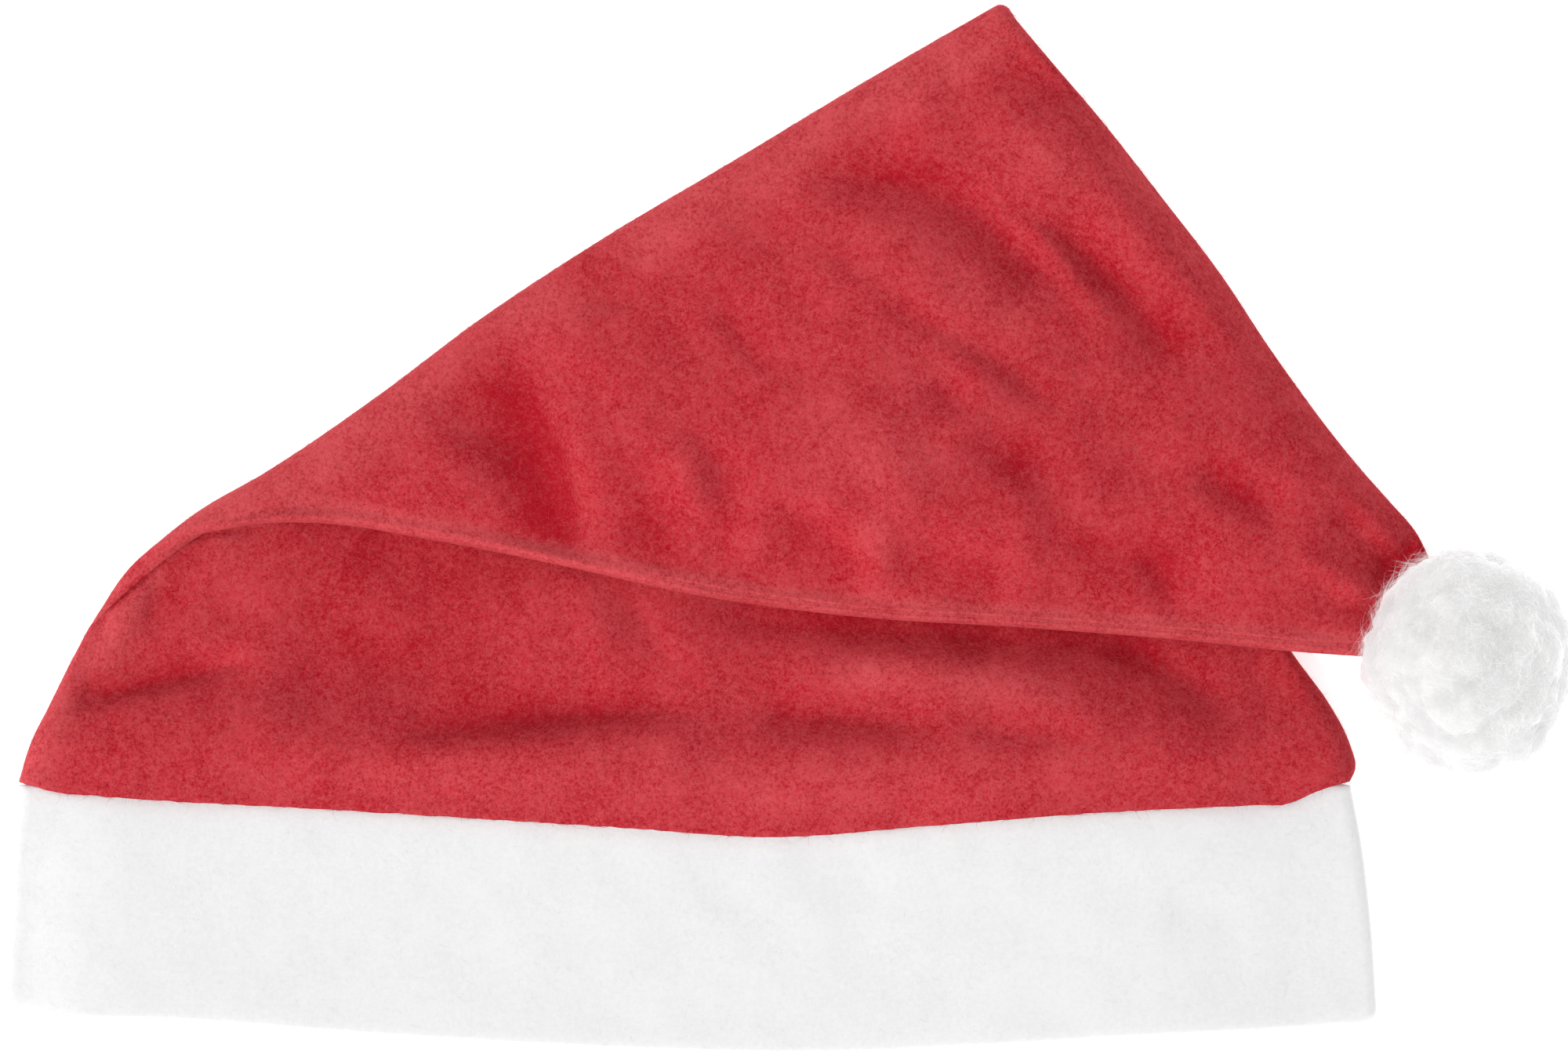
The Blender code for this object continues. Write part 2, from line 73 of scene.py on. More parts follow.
# How far the soft layers stand up, and over what width they rise
BODY_PUFF = 0.0085
BRIM_PUFF = 0.0035
PUFF_RISE = 0.022
FLAP_PUFF = 0.0050
SEAM_SIDE_RISE = 0.020
FOLD_SIDE_RISE = 0.055
CREASE_RISE = 0.060
FLAP_RISE = 0.030
FLAP_SEAM_RISE = 0.026
FLAP_FOLD_RISE = 0.006
HEM_SPREAD = 0.022
DROOP_LENGTH = 0.030
FOLD_DEPTH = 0.0050
FOLD_ONSET = 0.12
EDGE_RISE = 0.030
SWELL_SPEED = 2.5
TIP_LIFT = 0.0020
TIP_RISE = 0.020
TIP_ROUND = 0.0045
TIP_AIM = 0.9
HEM_STEP = 0.0006
HEM_FALL = 0.040
BRIM_SQUARENESS = 0.45

# Edge radii that follow from the walls
SIDE_RADIUS = FELT_WALL + EDGE_ROOM
BRIM_RADIUS = BRIM_WALL + EDGE_ROOM
HEM_INSET = FELT_WALL + CLEARANCE
HEM_RADIUS = BRIM_RADIUS + HEM_INSET
HEM_ZONE = BRIM_TUCK + HEM_MARGIN
BEND_RADIUS = FLAP_GAP / 2 + 2 * SIDE_RADIUS

# How tight the bend is at the seam, and over what length it opens
CORNER_TIGHTNESS = 0.90
CORNER_LENGTH = 0.025

# The finer cloth that the frame leaves out
RIPPLE_HEIGHT = 0.00030
BRIM_RIPPLE = 0.00005
RIPPLE_LENGTHS = (0.012, 0.045)
FLEECE_HEIGHT = 0.00004
FLEECE_LENGTHS = (0.003, 0.016)
WAVES = 60
SEAM_LINES = (0.0024, 0.0032)
SEAM_DEPTH = 0.00040
SEAM_WIDTH = 0.00042
SEAM_ROLL = 0.0009
SEAM_ROLL_PLACE = 0.0022
SEAM_ROLL_INSIDE = 0.0028
SEAM_ROLL_OUTSIDE = 0.0024
SEAM_SHOWS = (-0.050, 0.010)
# Painted light and shade on the felt's colour: painted light along the flap's seam roll, the point attribute
# that carries it with the folds' painted shade and light, painted shade in the seam's groove at the corner,
# and painted light along the crease and the seam-side edges, with its width
SEAM_PAINTED_LIGHT = 0.9
FOLD_PAINTED_SHADE_AND_LIGHT = "fold_painted_shade_and_light"
CORNER_PAINTED_SHADE = 4.0
EDGE_PAINTED_LIGHT = 0.65
EDGE_PAINTED_LIGHT_WIDTH = 0.0075
HEM_WAVER = 0.00005
WAVER_LENGTHS = (0.002, 0.014)

# Points of the loft
SIDE_STEPS = 150
SEAM_STEPS = 15
SEAM_ZONE = 0.004
EDGE_STEPS = 8
TUCK_STEPS = 6
BODY_STEPS = 60
BEND_STEPS = 14
FLAP_STEPS = 84
CROWDING = 0.35
TIP_STEPS = 6
INNER_STRIDE = 2
BRIM_STEPS = 40
BRIM_CROWDING = 1.15
RIM_MARGIN = 0.01
LINE_POINTS = 161

# Outlines from above, in thousandths of HAT_WIDTH across and of CROWN_HEIGHT up from the hem's low point
HEM = [
    (-489, 66), (-463, 54), (-430, 49), (-263, 33), (-46, 11), (60, 0), (171, 13), (297, 29), (411, 38),
    (437, 40), (457, 55), (481, 66),
]
BODY_SEAM_SIDE = [(-489, 66), (-481, 110), (-467, 157), (-453, 204), (-438, 251)]
BODY_FOLD_SIDE = [
    (481, 66), (485, 80), (481, 112), (467, 157), (439, 221), (389, 383), (320, 627), (263, 871), (238, 978),
]
CREASE = [
    (-438, 251), (-395, 311), (-353, 364), (-302, 412), (-217, 507), (-144, 597), (-53, 695), (44, 790),
    (141, 886), (238, 978),
]
FLAP_SEAM_SIDE = [
    (-353, 364), (-314, 375), (-274, 376), (-183, 354), (-91, 324), (0, 291), (125, 263), (240, 251),
    (375, 233), (439, 222), (489, 216),
]
FLAP_FOLD_SIDE = [
    (238, 978), (261, 933), (298, 862), (343, 768), (387, 674), (425, 580), (490, 439), (510, 402),
    (529, 366), (542, 324),
]
TIP = [(489, 216), (542, 324)]

# The brim's outlines, in thousandths of HAT_WIDTH across and of BRIM_HEIGHT up from the same point
MOUTH = [
    (-500, -770), (-480, -806), (-374, -849), (-203, -928), (-31, -986), (97, -1000), (197, -975),
    (311, -932), (469, -874), (493, -860), (501, -817),
]
BRIM_SEAM_SIDE = [(-489, 0), (-494, -230), (-497, -500), (-500, -770)]
BRIM_FOLD_SIDE = [(481, 0), (490, -230), (497, -530), (501, -817)]

# Folds and dents. Each row has the height as a share of FOLD_DEPTH, negative for a dent, the width to
# the left and to the right of the line as shares of HAT_WIDTH, and the line's points in thousandths
BODY_FOLDS = [
    # valleys above the hem, and the roll below them
    (-0.70, 0.020, 0.012, (-240, 122), (-143, 137), (-69, 150), (20, 156)),
    (-0.50, 0.018, 0.011, (40, 146), (103, 143), (190, 132)),
    (-0.35, 0.012, 0.010, (200, 130), (250, 125), (300, 118)),
    (0.32, 0.035, 0.050, (-434, 77), (-274, 77), (-74, 77), (126, 72), (326, 86), (434, 101)),
    (-0.40, 0.014, 0.013, (290, 235), (356, 190), (405, 138)),
    (0.50, 0.022, 0.022, (40, 190), (180, 190), (330, 160)),
    # where the flap presses on the body
    (-0.70, 0.060, 0.014, (-30, 298), (40, 268), (126, 250), (240, 236), (350, 228), (400, 226)),
    # where the flap's wedge sinks into it
    (-0.70, 0.020, 0.045, (-175, 700), (-127, 548), (-100, 440), (-86, 300)),
    (-0.38, 0.030, 0.030, (-300, 370), (-183, 340), (-91, 300)),
    # the dent beside the seam
    (-0.60, 0.011, 0.009, (-462, 157), (-405, 180), (-365, 196), (-310, 215)),
    (-0.60, 0.010, 0.012, (-345, 370), (-362, 335), (-380, 285), (-402, 235)),
    (0.40, 0.020, 0.020, (-449, 195), (-417, 251), (-385, 300)),
    # the upright bulge in the middle
    (0.25, 0.016, 0.014, (-83, 331), (-66, 251), (-49, 166)),
    (-0.15, 0.008, 0.010, (-51, 298), (-23, 232), (9, 171)),
    (-0.40, 0.050, 0.050, (-320, 200), (-210, 230), (-110, 230)),
]
FLAP_FOLDS = [
    # the wedge by the crease, and its sharp end
    (-0.65, 0.014, 0.048, (-168, 660), (-127, 548), (-107, 470), (-94, 390), (-88, 290), (-84, 140)),
    (-0.50, 0.010, 0.026, (-150, 610), (-121, 520), (-98, 410), (-89, 310), (-86, 170)),
    (-0.35, 0.006, 0.012, (-118, 520), (-100, 440), (-91, 360), (-87, 200)),
    (-0.35, 0.030, 0.030, (-60, 500), (-34, 401), (0, 300)),
    # the long arc and its two strokes
    (0.50, 0.030, 0.090, (60, 730), (166, 744), (223, 688), (303, 589)),
    (-0.90, 0.026, 0.026, (70, 775), (150, 789), (200, 748), (240, 694), (303, 616)),
    (0.40, 0.010, 0.012, (217, 760), (270, 693), (310, 610)),
    (-0.80, 0.026, 0.018, (256, 756), (310, 672), (350, 592), (371, 552)),
    (0.45, 0.030, 0.040, (200, 890), (297, 758), (371, 600)),
    # streaks that run the same way
    (-0.30, 0.016, 0.010, (130, 650), (207, 586), (280, 500)),
    (-0.25, 0.030, 0.015, (80, 721), (131, 679), (183, 627)),
    (-0.40, 0.020, 0.012, (10, 660), (34, 610), (65, 545)),
    (-0.42, 0.024, 0.018, (200, 490), (246, 439), (290, 395)),
    (-0.50, 0.020, 0.016, (360, 460), (396, 416), (440, 387)),
    (-0.35, 0.015, 0.015, (174, 556), (191, 528), (206, 500)),
    (-0.50, 0.024, 0.024, (230, 360), (320, 335), (390, 330)),
    (-0.35, 0.010, 0.010, (330, 350), (343, 310), (354, 256)),
    (0.40, 0.045, 0.045, (40, 460), (126, 455), (215, 430)),
    # upright creases above the flap's edge
    (-0.40, 0.012, 0.012, (10, 500), (28, 401), (20, 303)),
    (0.35, 0.016, 0.016, (-4, 490), (-3, 430), (0, 373)),
    (-0.30, 0.010, 0.010, (-23, 448), (-24, 383), (-22, 312)),
    (-0.60, 0.012, 0.030, (51, 406), (103, 354), (128, 284)),
    (0.35, 0.012, 0.012, (131, 398), (137, 346), (140, 284)),
    (-0.40, 0.026, 0.026, (150, 370), (194, 330), (246, 300)),
    # dents on the crease and below the corner
    (-0.55, 0.018, 0.018, (-110, 668), (-60, 674), (-46, 620)),
    (-0.45, 0.018, 0.018, (230, 950), (251, 909), (280, 862)),
    # gathers at the tip
    (-0.30, 0.014, 0.014, (463, 401), (497, 350), (526, 303)),
    (-0.60, 0.010, 0.014, (550, 375), (532, 345), (508, 306), (496, 255)),
    (0.25, 0.012, 0.012, (434, 345), (474, 312), (520, 279)),
    (-0.25, 0.010, 0.014, (446, 303), (486, 274), (520, 260)),
]
CORNER_FOLDS = [
    # the seam's groove where the crease meets it
    (-0.25, 0.0032, 0.0032, (-452, 215), (-434, 250), (-421, 273), (-404, 302), (-386, 333), (-369, 356),
     (-350, 365), (-331, 368), (-300, 371)),
]
BRIM_FOLDS = [
    (-0.09, 0.024, 0.024, (60, 7), (29, -155), (6, -335)),
    (-0.09, 0.024, 0.024, (60, 7), (114, -155), (149, -353)),
    (-0.06, 0.024, 0.024, (103, -479), (137, -641), (160, -803)),
    (-0.12, 0.020, 0.020, (340, -330), (378, -360), (410, -380)),
    (-0.06, 0.020, 0.020, (423, -551), (437, -677), (451, -839)),
]

# The pompom: its outline from above as a share of the full ellipse every 45 degrees from +X, its locks
# and the fine billows of its cotton
POMPOM_OUTLINE = (1.00, 1.01, 1.00, 0.95, 0.97, 0.86, 1.00, 0.99)
POMPOM_OFFSET = (0.325, -0.228)
POMPOM_LOCKS = 46
LOCK_DEPTH = 0.0060
LOCK_WIDTH = 0.0085
LOCK_STRETCH = 1.9
LOCK_SCATTER = 0.10
LOCK_SIZES = (0.85, 1.2)
LOCK_HEIGHTS = (0.75, 1.0)
CREST_SHARE = 0.75
PRESSED_SHARE = 0.35
REST_DEPTH = 0.0012
LOCK_ROOM = 0.0004
BALL_LEVELS = 7
BILLOW_HEIGHT = 0.0004
BILLOW_LENGTHS = (0.004, 0.012)
CURL_HEIGHT = 0.00016
CURL_LENGTHS = (0.0026, 0.0070)
CURL_SHARPNESS = 1.5
TUFTS = (
    # azimuth and elevation in degrees, and length and width in metres
    (97, 10, 0.0018, 0.0009), (84, 14, 0.0013, 0.0011), (73, 8, 0.0014, 0.0009),
    (60, 12, 0.0008, 0.0014), (45, 8, 0.0020, 0.0009), (20, 10, 0.0009, 0.0014),
    (-22, 8, 0.0016, 0.0010), (-36, 10, 0.0010, 0.0016), (-48, 8, 0.0018, 0.0010),
    (-62, 12, 0.0009, 0.0018), (-118, 10, 0.0008, 0.0012), (-136, 8, 0.0010, 0.0010),
)

# The pile: its fibres' number, lengths, lift at the end, turn in radians, joints and bow, and the share
# of them on faces that look down
Pile = namedtuple("Pile", "count lengths lift curl joints bow under")
FELT_PILE = Pile(10000, (0.0012, 0.0036), 0.0004, 1.4, 3, 0.0, 0.1)
FLEECE_PILE = Pile(6000, (0.0010, 0.0024), 0.0004, 1.2, 3, 0.0, 0.1)
COTTON_PILE = Pile(9000, (0.003, 0.008), 0.0008, 2.4, 4, 1 / POMPOM_WIDTH, 0.3)
FIBRE_RADIUS = 0.00003
FIBRE_ARCH = 0.4
FIBRE_TAPER = 0.6
SPARE_ROOTS = 3
DOWNWARD = -0.3
COVER_START = 0.0003
COVER_REACH = 0.03

# Colours on the everyday scale from 0 to 255, and how much the white ones glow: the fleece's and the cotton's
# glow is painted light, the floor's keeps it evenly bright
FELT_CRIMSON = (158, 10, 28)
FELT_RED = (188, 54, 62)
# Painted shade in the folds' dents and the seam's groove, and painted light on the folds' ridges, the seam's
# roll and the edges
FELT_PAINTED_SHADE = (164, 10, 29)
FELT_PAINTED_LIGHT = (212, 95, 99)
FELT_HAIR = (214, 102, 106)
FELT_HAIR_SHARE = 0.35
FELT_FIBRE = (203, 84, 90)
FELT_SHEEN = (255, 150, 150)
FLEECE_GREY = (206, 206, 207)
FLEECE_WHITE = (212, 212, 212)
# an even glow of painted light over the fleece
FLEECE_PAINTED_LIGHT = 0.14
COTTON_GREY = (156, 155, 155)
COTTON_WHITE = (162, 161, 161)
# Painted shade towards the pompom's lower part, in its colour and in its glow, and how much the cotton glows
# as painted light
COTTON_PAINTED_SHADE = (143, 142, 143)
COTTON_PAINTED_SHADE_LIGHT = (224, 223, 225)
COTTON_PAINTED_LIGHT = 0.41
FLOOR_WHITE = (248, 248, 248)
FLOOR_GLOW = 0.62
WHITE = (255, 255, 255)

# The photograph's view, the light and the floor
PHOTO_WIDTH = 2000
PIXELS_PER_METRE = 6030
VIEW_MIDDLE = (-0.0005, 0.0004)
CAMERA_HEIGHT = 6.0
SENSOR_WIDTH = 36.0
LIGHT_AZIMUTH = 215
LIGHT_ELEVATION = 36
LIGHT_STRENGTH = 2.25
LIGHT_SPREAD = 30
SKY_STRENGTH = 0.765
FLOOR_SIZE = 12.0
FLOOR_DROP = 0.0002


class Curve:
    """A smooth curve through a few points in plan, read by the share of its length."""

    FINE = 12

    def __init__(self, points):
        knots = np.array(points, dtype=float)
        ends = np.vstack([2 * knots[0] - knots[1], knots, 2 * knots[-1] - knots[-2]])
        t = np.arange(self.FINE)[:, None] / self.FINE
        pieces = []
        for a, b, c, d in zip(ends, ends[1:], ends[2:], ends[3:]):
            before, span, after = (np.linalg.norm(q - p) for p, q in ((a, b), (b, c), (c, d)))
            leave = ((b - a) / before * span + (c - b) / span * before) / (before + span) * span
            arrive = ((c - b) / span * after + (d - c) / after * span) / (span + after) * span
            pieces.append(b * (2 * t**3 - 3 * t**2 + 1) + leave * (t**3 - 2 * t**2 + t)
                          + c * (3 * t**2 - 2 * t**3) + arrive * (t**3 - t**2))
        self.points = np.vstack(pieces + [knots[-1:]])
        lengths = np.linalg.norm(np.diff(self.points, axis=0), axis=1)
        self.along = np.concatenate([[0.0], np.cumsum(lengths)])
        self.length = self.along[-1]

    def __call__(self, share):
        along = np.asarray(share) * self.length
        return np.stack([np.interp(along, self.along, self.points[:, k]) for k in (0, 1)], axis=-1)

    def nearest(self, places):
        """Distance of each place from the curve, positive to its left, and the share along it."""
        run = np.diff(self.points, axis=0)
        away = places[:, None, :] - self.points[None, :-1]
        share = np.clip((away * run).sum(-1) / (run * run).sum(-1), 0.0, 1.0)
        gap = away - share[..., None] * run
        far = np.linalg.norm(gap, axis=-1)
        best = far.argmin(axis=1)
        pick = np.arange(len(places))
        turn = run[best, 0] * gap[pick, best, 1] - run[best, 1] * gap[pick, best, 0]
        along = self.along[best] + share[pick, best] * np.diff(self.along)[best]
        return np.where(turn < 0, -1.0, 1.0) * far[pick, best], along / self.length

    def distance(self, places):
        """Distance of each place from the curve, positive to the left of its direction."""
        return self.nearest(places)[0]


class Fold:
    """One fold line, which fades out at both its ends.

    The inner wall has fewer points, so its narrow dents are widened and its narrow ridges left out.
    """

    REACH = 3
    INNER_WIDTH = 0.006

    def __init__(self, row, upward):
        self.rise, left, right, *points = row
        self.left = left * HAT_WIDTH
        self.right = right * HAT_WIDTH
        self.line = outline(points, upward)
        reach = self.REACH * max(self.left, self.right, self.INNER_WIDTH)
        self.low = self.line.points.min(axis=0) - reach
        self.high = self.line.points.max(axis=0) + reach

    def height(self, places, inner=False):
        """Height that the fold adds at each place of the outer or inner wall."""
        height = np.zeros(len(places))
        near = np.all((places > self.low) & (places < self.high), axis=1)
        narrow_ridge = self.rise > 0 and min(self.left, self.right) < self.INNER_WIDTH
        if near.any() and not (inner and narrow_ridge):
            off, share = self.line.nearest(places[near])
            width = np.where(off > 0, self.left, self.right)
            if inner:
                width = np.maximum(width, self.INNER_WIDTH)
            fade = smooth(4 * share * (1 - share))
            height[near] = self.rise * FOLD_DEPTH * fade * np.exp(-(off / width) ** 2)
        return height


def outline(points, upward=CROWN_HEIGHT):
    """A curve through points in thousandths of HAT_WIDTH across and of a height up."""
    return Curve([(x / 1000 * HAT_WIDTH, y / 1000 * upward) for x, y in points])


def brim_side(points, top):
    """The brim's side edge, which runs down from the top, the hem's end there, to the mouth."""
    shares = np.array(points) / 1000
    low = shares[-1][1]
    fall = low * BRIM_HEIGHT - top
    return Curve([(x * HAT_WIDTH, top + fall * y / low) for x, y in shares])


def joined(brim, crown):
    """One side edge from the mouth to the crease, from the brim's side and the crown's."""
    return Curve(list(brim.points[::-Curve.FINE]) + list(crown.points[Curve.FINE::Curve.FINE]))


def patch(low, high, seam_side, fold_side):
    """Plan surface between four curves, read by the share along the sides and across."""
    def place(along, across):
        across = np.asarray(across)[..., None]
        flat = across[..., 0]
        sides = (1 - across) * seam_side(along) + across * fold_side(along)
        ends = (1 - along) * low(flat) + along * high(flat)
        corners = ((1 - along) * ((1 - across) * low(0.0) + across * low(1.0))
                   + along * ((1 - across) * high(0.0) + across * high(1.0)))
        return sides + ends - corners
    return place


def smooth(share):
    """A rise from 0 to 1 that starts and ends level."""
    share = np.clip(share, 0.0, 1.0)
    return share * share * (3 - 2 * share)


def swell(share):
    """A rise from 0 to 1 that starts level and goes on slowly."""
    return 1 - np.exp(-np.clip(share, 0.0, None) ** 2 * SWELL_SPEED)


def waves(places, lengths, seed):
    """Soft unevenness about 1 high: many plane waves whose lengths lie in a range."""
    draw = np.random.default_rng(seed)
    height = np.zeros(len(places))
    for _ in range(WAVES):
        way = draw.normal(0, 1, places.shape[1])
        way *= 2 * math.pi / draw.uniform(*lengths) / np.linalg.norm(way)
        height += np.cos(places @ way + draw.uniform(0, 2 * math.pi))
    return height / math.sqrt(WAVES / 2)


hem = outline(HEM)
body_seam_side = outline(BODY_SEAM_SIDE)
body_fold_side = outline(BODY_FOLD_SIDE)
crease = outline(CREASE)
flap_seam_side = outline(FLAP_SEAM_SIDE)
flap_fold_side = outline(FLAP_FOLD_SIDE)
tip = outline(TIP)
mouth = outline(MOUTH, BRIM_HEIGHT)
brim_seam_side = brim_side(BRIM_SEAM_SIDE, hem(0.0)[1])
brim_fold_side = brim_side(BRIM_FOLD_SIDE, hem(1.0)[1])
whole_seam_side = joined(brim_seam_side, body_seam_side)
whole_fold_side = joined(brim_fold_side, body_fold_side)
body_folds = [Fold(row, CROWN_HEIGHT) for row in BODY_FOLDS]
body_folds += [Fold(row, BRIM_HEIGHT) for row in BRIM_FOLDS]
flap_folds = [Fold(row, CROWN_HEIGHT) for row in FLAP_FOLDS]
corner_folds = [Fold(row, CROWN_HEIGHT) for row in CORNER_FOLDS]

# Where the flap starts along the crease, and the way in plan that the bend faces
flap_start = crease.along[CREASE.index(FLAP_SEAM_SIDE[0]) * Curve.FINE] / crease.length
crease_run = crease(1.0) - crease(flap_start)
outward = np.array([-crease_run[1], crease_run[0]]) / np.linalg.norm(crease_run)

# From the outlines' own place to the frame's
brim_outline = np.vstack([mouth.points, brim_seam_side.points])
band_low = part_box("band")[0]
SHIFT = np.array([band_low.x - brim_outline[:, 0].min(), band_low.y - brim_outline[:, 1].min(), 0.0])


def flap_crease(across):
    """The crease over the flap alone."""
    return crease(flap_start + (1 - flap_start) * np.asarray(across))


def raised_hem(depth):
    """The hem's line moved up into the crown by a depth along both side edges."""
    seam_move = body_seam_side(depth / body_seam_side.length) - hem(0.0)
    fold_move = body_fold_side(depth / body_fold_side.length) - hem(1.0)

    def place(across):
        share = np.asarray(across)[..., None]
        return hem(across) + (1 - share) * seam_move + share * fold_move
    return place


def rest_of(side, start):
    """A side curve from a length past its start to its end."""
    skipped = start / side.length
    return lambda along: side(skipped + (1 - skipped) * np.asarray(along))


body_patch = patch(raised_hem(HEM_ZONE), crease, rest_of(body_seam_side, HEM_ZONE),
                   rest_of(body_fold_side, HEM_ZONE))
flap_patch = patch(flap_crease, tip, flap_seam_side, flap_fold_side)
brim_patch = patch(hem, mouth, brim_seam_side, brim_fold_side)


def puff(places):
    """How far the lower layer stands up, and how near its full height the sides let it come."""
    from_seam = -whole_seam_side.distance(places)
    from_fold = whole_fold_side.distance(places)
    from_crease = np.abs(crease.distance(places))
    sides = swell(from_seam / SEAM_SIDE_RISE) * swell(from_fold / FOLD_SIDE_RISE)
    full = BRIM_PUFF + (BODY_PUFF - BRIM_PUFF) * smooth(hem.distance(places) / PUFF_RISE)
    edges = swell(from_seam / EDGE_RISE) * swell(from_fold / EDGE_RISE)
    return full * sides * swell(from_crease / CREASE_RISE), edges


def not_under(thickness):
    """The thickness of a layer, eased so that it stays above that of two walls."""
    least = 2 * FELT_WALL + INNER_ROOM
    return least + EASE * np.logaddexp(0.0, (thickness - least) / EASE)


def total(folds, places, inner=False):
    """Height that several folds add at each place."""
    return sum(fold.height(places, inner) for fold in folds)


def lower_top(places, radius, ripple, inner=False):
    """Top of the lower layer, crown or brim, whose edges have the given radius."""
    rise, edges = puff(places)
    relief = total(body_folds, places, inner) + ripple * waves(places, RIPPLE_LENGTHS, seed=1)
    return not_under(2 * radius + rise + relief * smooth(edges / FOLD_ONSET))


def crown_radius(places):
    """Edge radius of the crown's lower layer, which is thicker where it holds the brim."""
    from_hem = np.abs(hem.distance(places))
    spread = smooth(1 - (from_hem - HEM_ZONE) / HEM_SPREAD)
    return SIDE_RADIUS + (HEM_RADIUS - SIDE_RADIUS) * spread


def body_top(places, inner=False):
    """Top of the crown's lower layer."""
    return lower_top(places, crown_radius(places), RIPPLE_HEIGHT, inner)


def flap_bottom(places, inner=False):
    """Underside of the flap for either wall. It lies on the lower layer and droops past its side."""
    past = -whole_fold_side.distance(places)
    droop = 1 - smooth(past / DROOP_LENGTH)
    support = np.where(past > 0, 2 * SIDE_RADIUS, body_top(places))
    from_tip = np.linalg.norm(places - tip(0.5), axis=1)
    return (support + FLAP_GAP) * droop + TIP_LIFT * smooth(1 - from_tip / TIP_RISE)


def flap_top(places, inner=False):
    """Visible top of the flap."""
    from_sides = swell(flap_seam_side.distance(places) / FLAP_SEAM_RISE)
    from_sides = from_sides * swell(-flap_fold_side.distance(places) / FLAP_FOLD_RISE)
    rise = from_sides * swell(np.abs(crease.distance(places)) / FLAP_RISE)
    relief = total(flap_folds, places, inner) + RIPPLE_HEIGHT * waves(places, RIPPLE_LENGTHS, seed=2)
    thickness = 2 * SIDE_RADIUS + FLAP_PUFF * rise + relief * smooth(rise / FOLD_ONSET)
    return flap_bottom(places) + not_under(thickness)


def floor_level(places, inner=False):
    """The surface that the hat lies on, the same for either wall."""
    return np.zeros(len(places))


def ring_layout(width, seam_radius, fold_radius, inset, rounding):
    """Distance from the seam end, and level, of every point round a ring.

    The level goes from -1 on the far side to 1 on the near side. Edges are round at a rounding of 1,
    and squarer below it.
    """
    turns = np.linspace(-math.pi / 2, math.pi / 2, EDGE_STEPS + 1)
    zone = seam_radius + SEAM_ZONE * np.arange(1, SEAM_STEPS + 1) / SEAM_STEPS
    shares = np.arange(1, SIDE_STEPS) / SIDE_STEPS
    inner = np.concatenate([zone, zone[-1] + (width - zone[-1] - fold_radius) * shares])
    reach = 1 - np.abs(np.cos(turns)) ** rounding
    rise = np.sign(turns) * np.abs(np.sin(turns)) ** rounding
    seam_edge = inset + (seam_radius - inset) * reach
    fold_edge = width - inset - (fold_radius - inset) * reach
    flat = np.ones(len(inner))
    distance = np.concatenate([seam_edge, inner, fold_edge, inner[::-1]])
    level = np.concatenate([rise, flat, rise[::-1], -flat])
    return distance, level


def ring_places(place, seam_radius, fold_radius, inset, rounding=1.0):
    """Plan places, levels and distances from the seam end of a ring's points on a plan line."""
    line = place(np.linspace(0.0, 1.0, LINE_POINTS))
    along = np.concatenate([[0.0], np.cumsum(np.linalg.norm(np.diff(line, axis=0), axis=1))])
    distance, level = ring_layout(along[-1], seam_radius, fold_radius, inset, rounding)
    places = np.stack([np.interp(distance, along, line[:, k]) for k in (0, 1)], axis=-1)
    return places, level, distance


def flat_ring(place, near, far, radii, inset, rounding=1.0):
    """One ring of the flattened tube where it lies flat, and its distances and upward levels."""
    places, level, distance = ring_places(place, *radii, inset, rounding)
    high, low = near(places, inset > 0), far(places, inset > 0)
    half = np.maximum(np.abs(high - low) / 2 - inset, INNER_ROOM / 2)
    upward = np.sign(high - low) * level
    return np.column_stack([places, (high + low) / 2 + upward * half]), distance, upward


def bend_ring(turn, inset):
    """One ring of the tube where it bends over the crease by a turn from 0 to pi."""
    start = flap_start * turn / math.pi
    places, level, distance = ring_places(lambda across: crease(start + (1 - start) * across),
                                          SIDE_RADIUS, SIDE_RADIUS, inset)
    reach = FLAP_GAP / 2 + SIDE_RADIUS - level * (SIDE_RADIUS - inset)
    opened = CORNER_TIGHTNESS + (1 - CORNER_TIGHTNESS) * smooth(distance / CORNER_LENGTH)
    plan = places + np.outer(reach * opened * math.sin(turn), outward)
    ring = np.column_stack([plan, BEND_RADIUS - reach * math.cos(turn)])
    return corner_cut(ring, level * math.cos(turn), inset)


def corner_cut(ring, upward, inset):
    """The ring with the seam's groove at the corner in its outer top."""
    if inset == 0.0:
        ring[:, 2] += total(corner_folds, ring[:, :2]) * np.clip(upward, 0.0, 1.0)
    return ring


def body_ring(place, inset):
    """A ring of the crown's lower layer."""
    radii = crown_radius(place(np.array([0.0, 1.0])))
    ring, _, upward = flat_ring(place, body_top, floor_level, radii, inset)
    return corner_cut(ring, upward, inset)


def seam_relief(places, distance, upward):
    """Height of the seam near the flap's edge: a roll with two grooves."""
    shows = smooth((places[:, 0] / HAT_WIDTH - SEAM_SHOWS[0]) / (SEAM_SHOWS[1] - SEAM_SHOWS[0]))
    relief = seam_roll(distance) * SEAM_ROLL
    for line in SEAM_LINES:
        relief -= shows * SEAM_DEPTH * np.exp(-((distance - line) / SEAM_WIDTH) ** 2)
    return relief * np.clip(upward, 0.0, 1.0)


def seam_roll(distance):
    """The roll along the flap's edge, from 0 to 1, steep outside and gentle inside."""
    width = np.where(distance > SEAM_ROLL_PLACE, SEAM_ROLL_INSIDE, SEAM_ROLL_OUTSIDE)
    return np.exp(-((distance - SEAM_ROLL_PLACE) / width) ** 2)


def flap_ring(along, inset):
    """A ring of the flap."""
    ring, distance, upward = flat_ring(lambda across: flap_patch(along, across), flap_bottom, flap_top,
                                       (SIDE_RADIUS, SIDE_RADIUS), inset)
    if inset == 0.0:
        ring[:, 2] += seam_relief(ring, distance, upward)
    return corner_cut(ring, upward, inset)


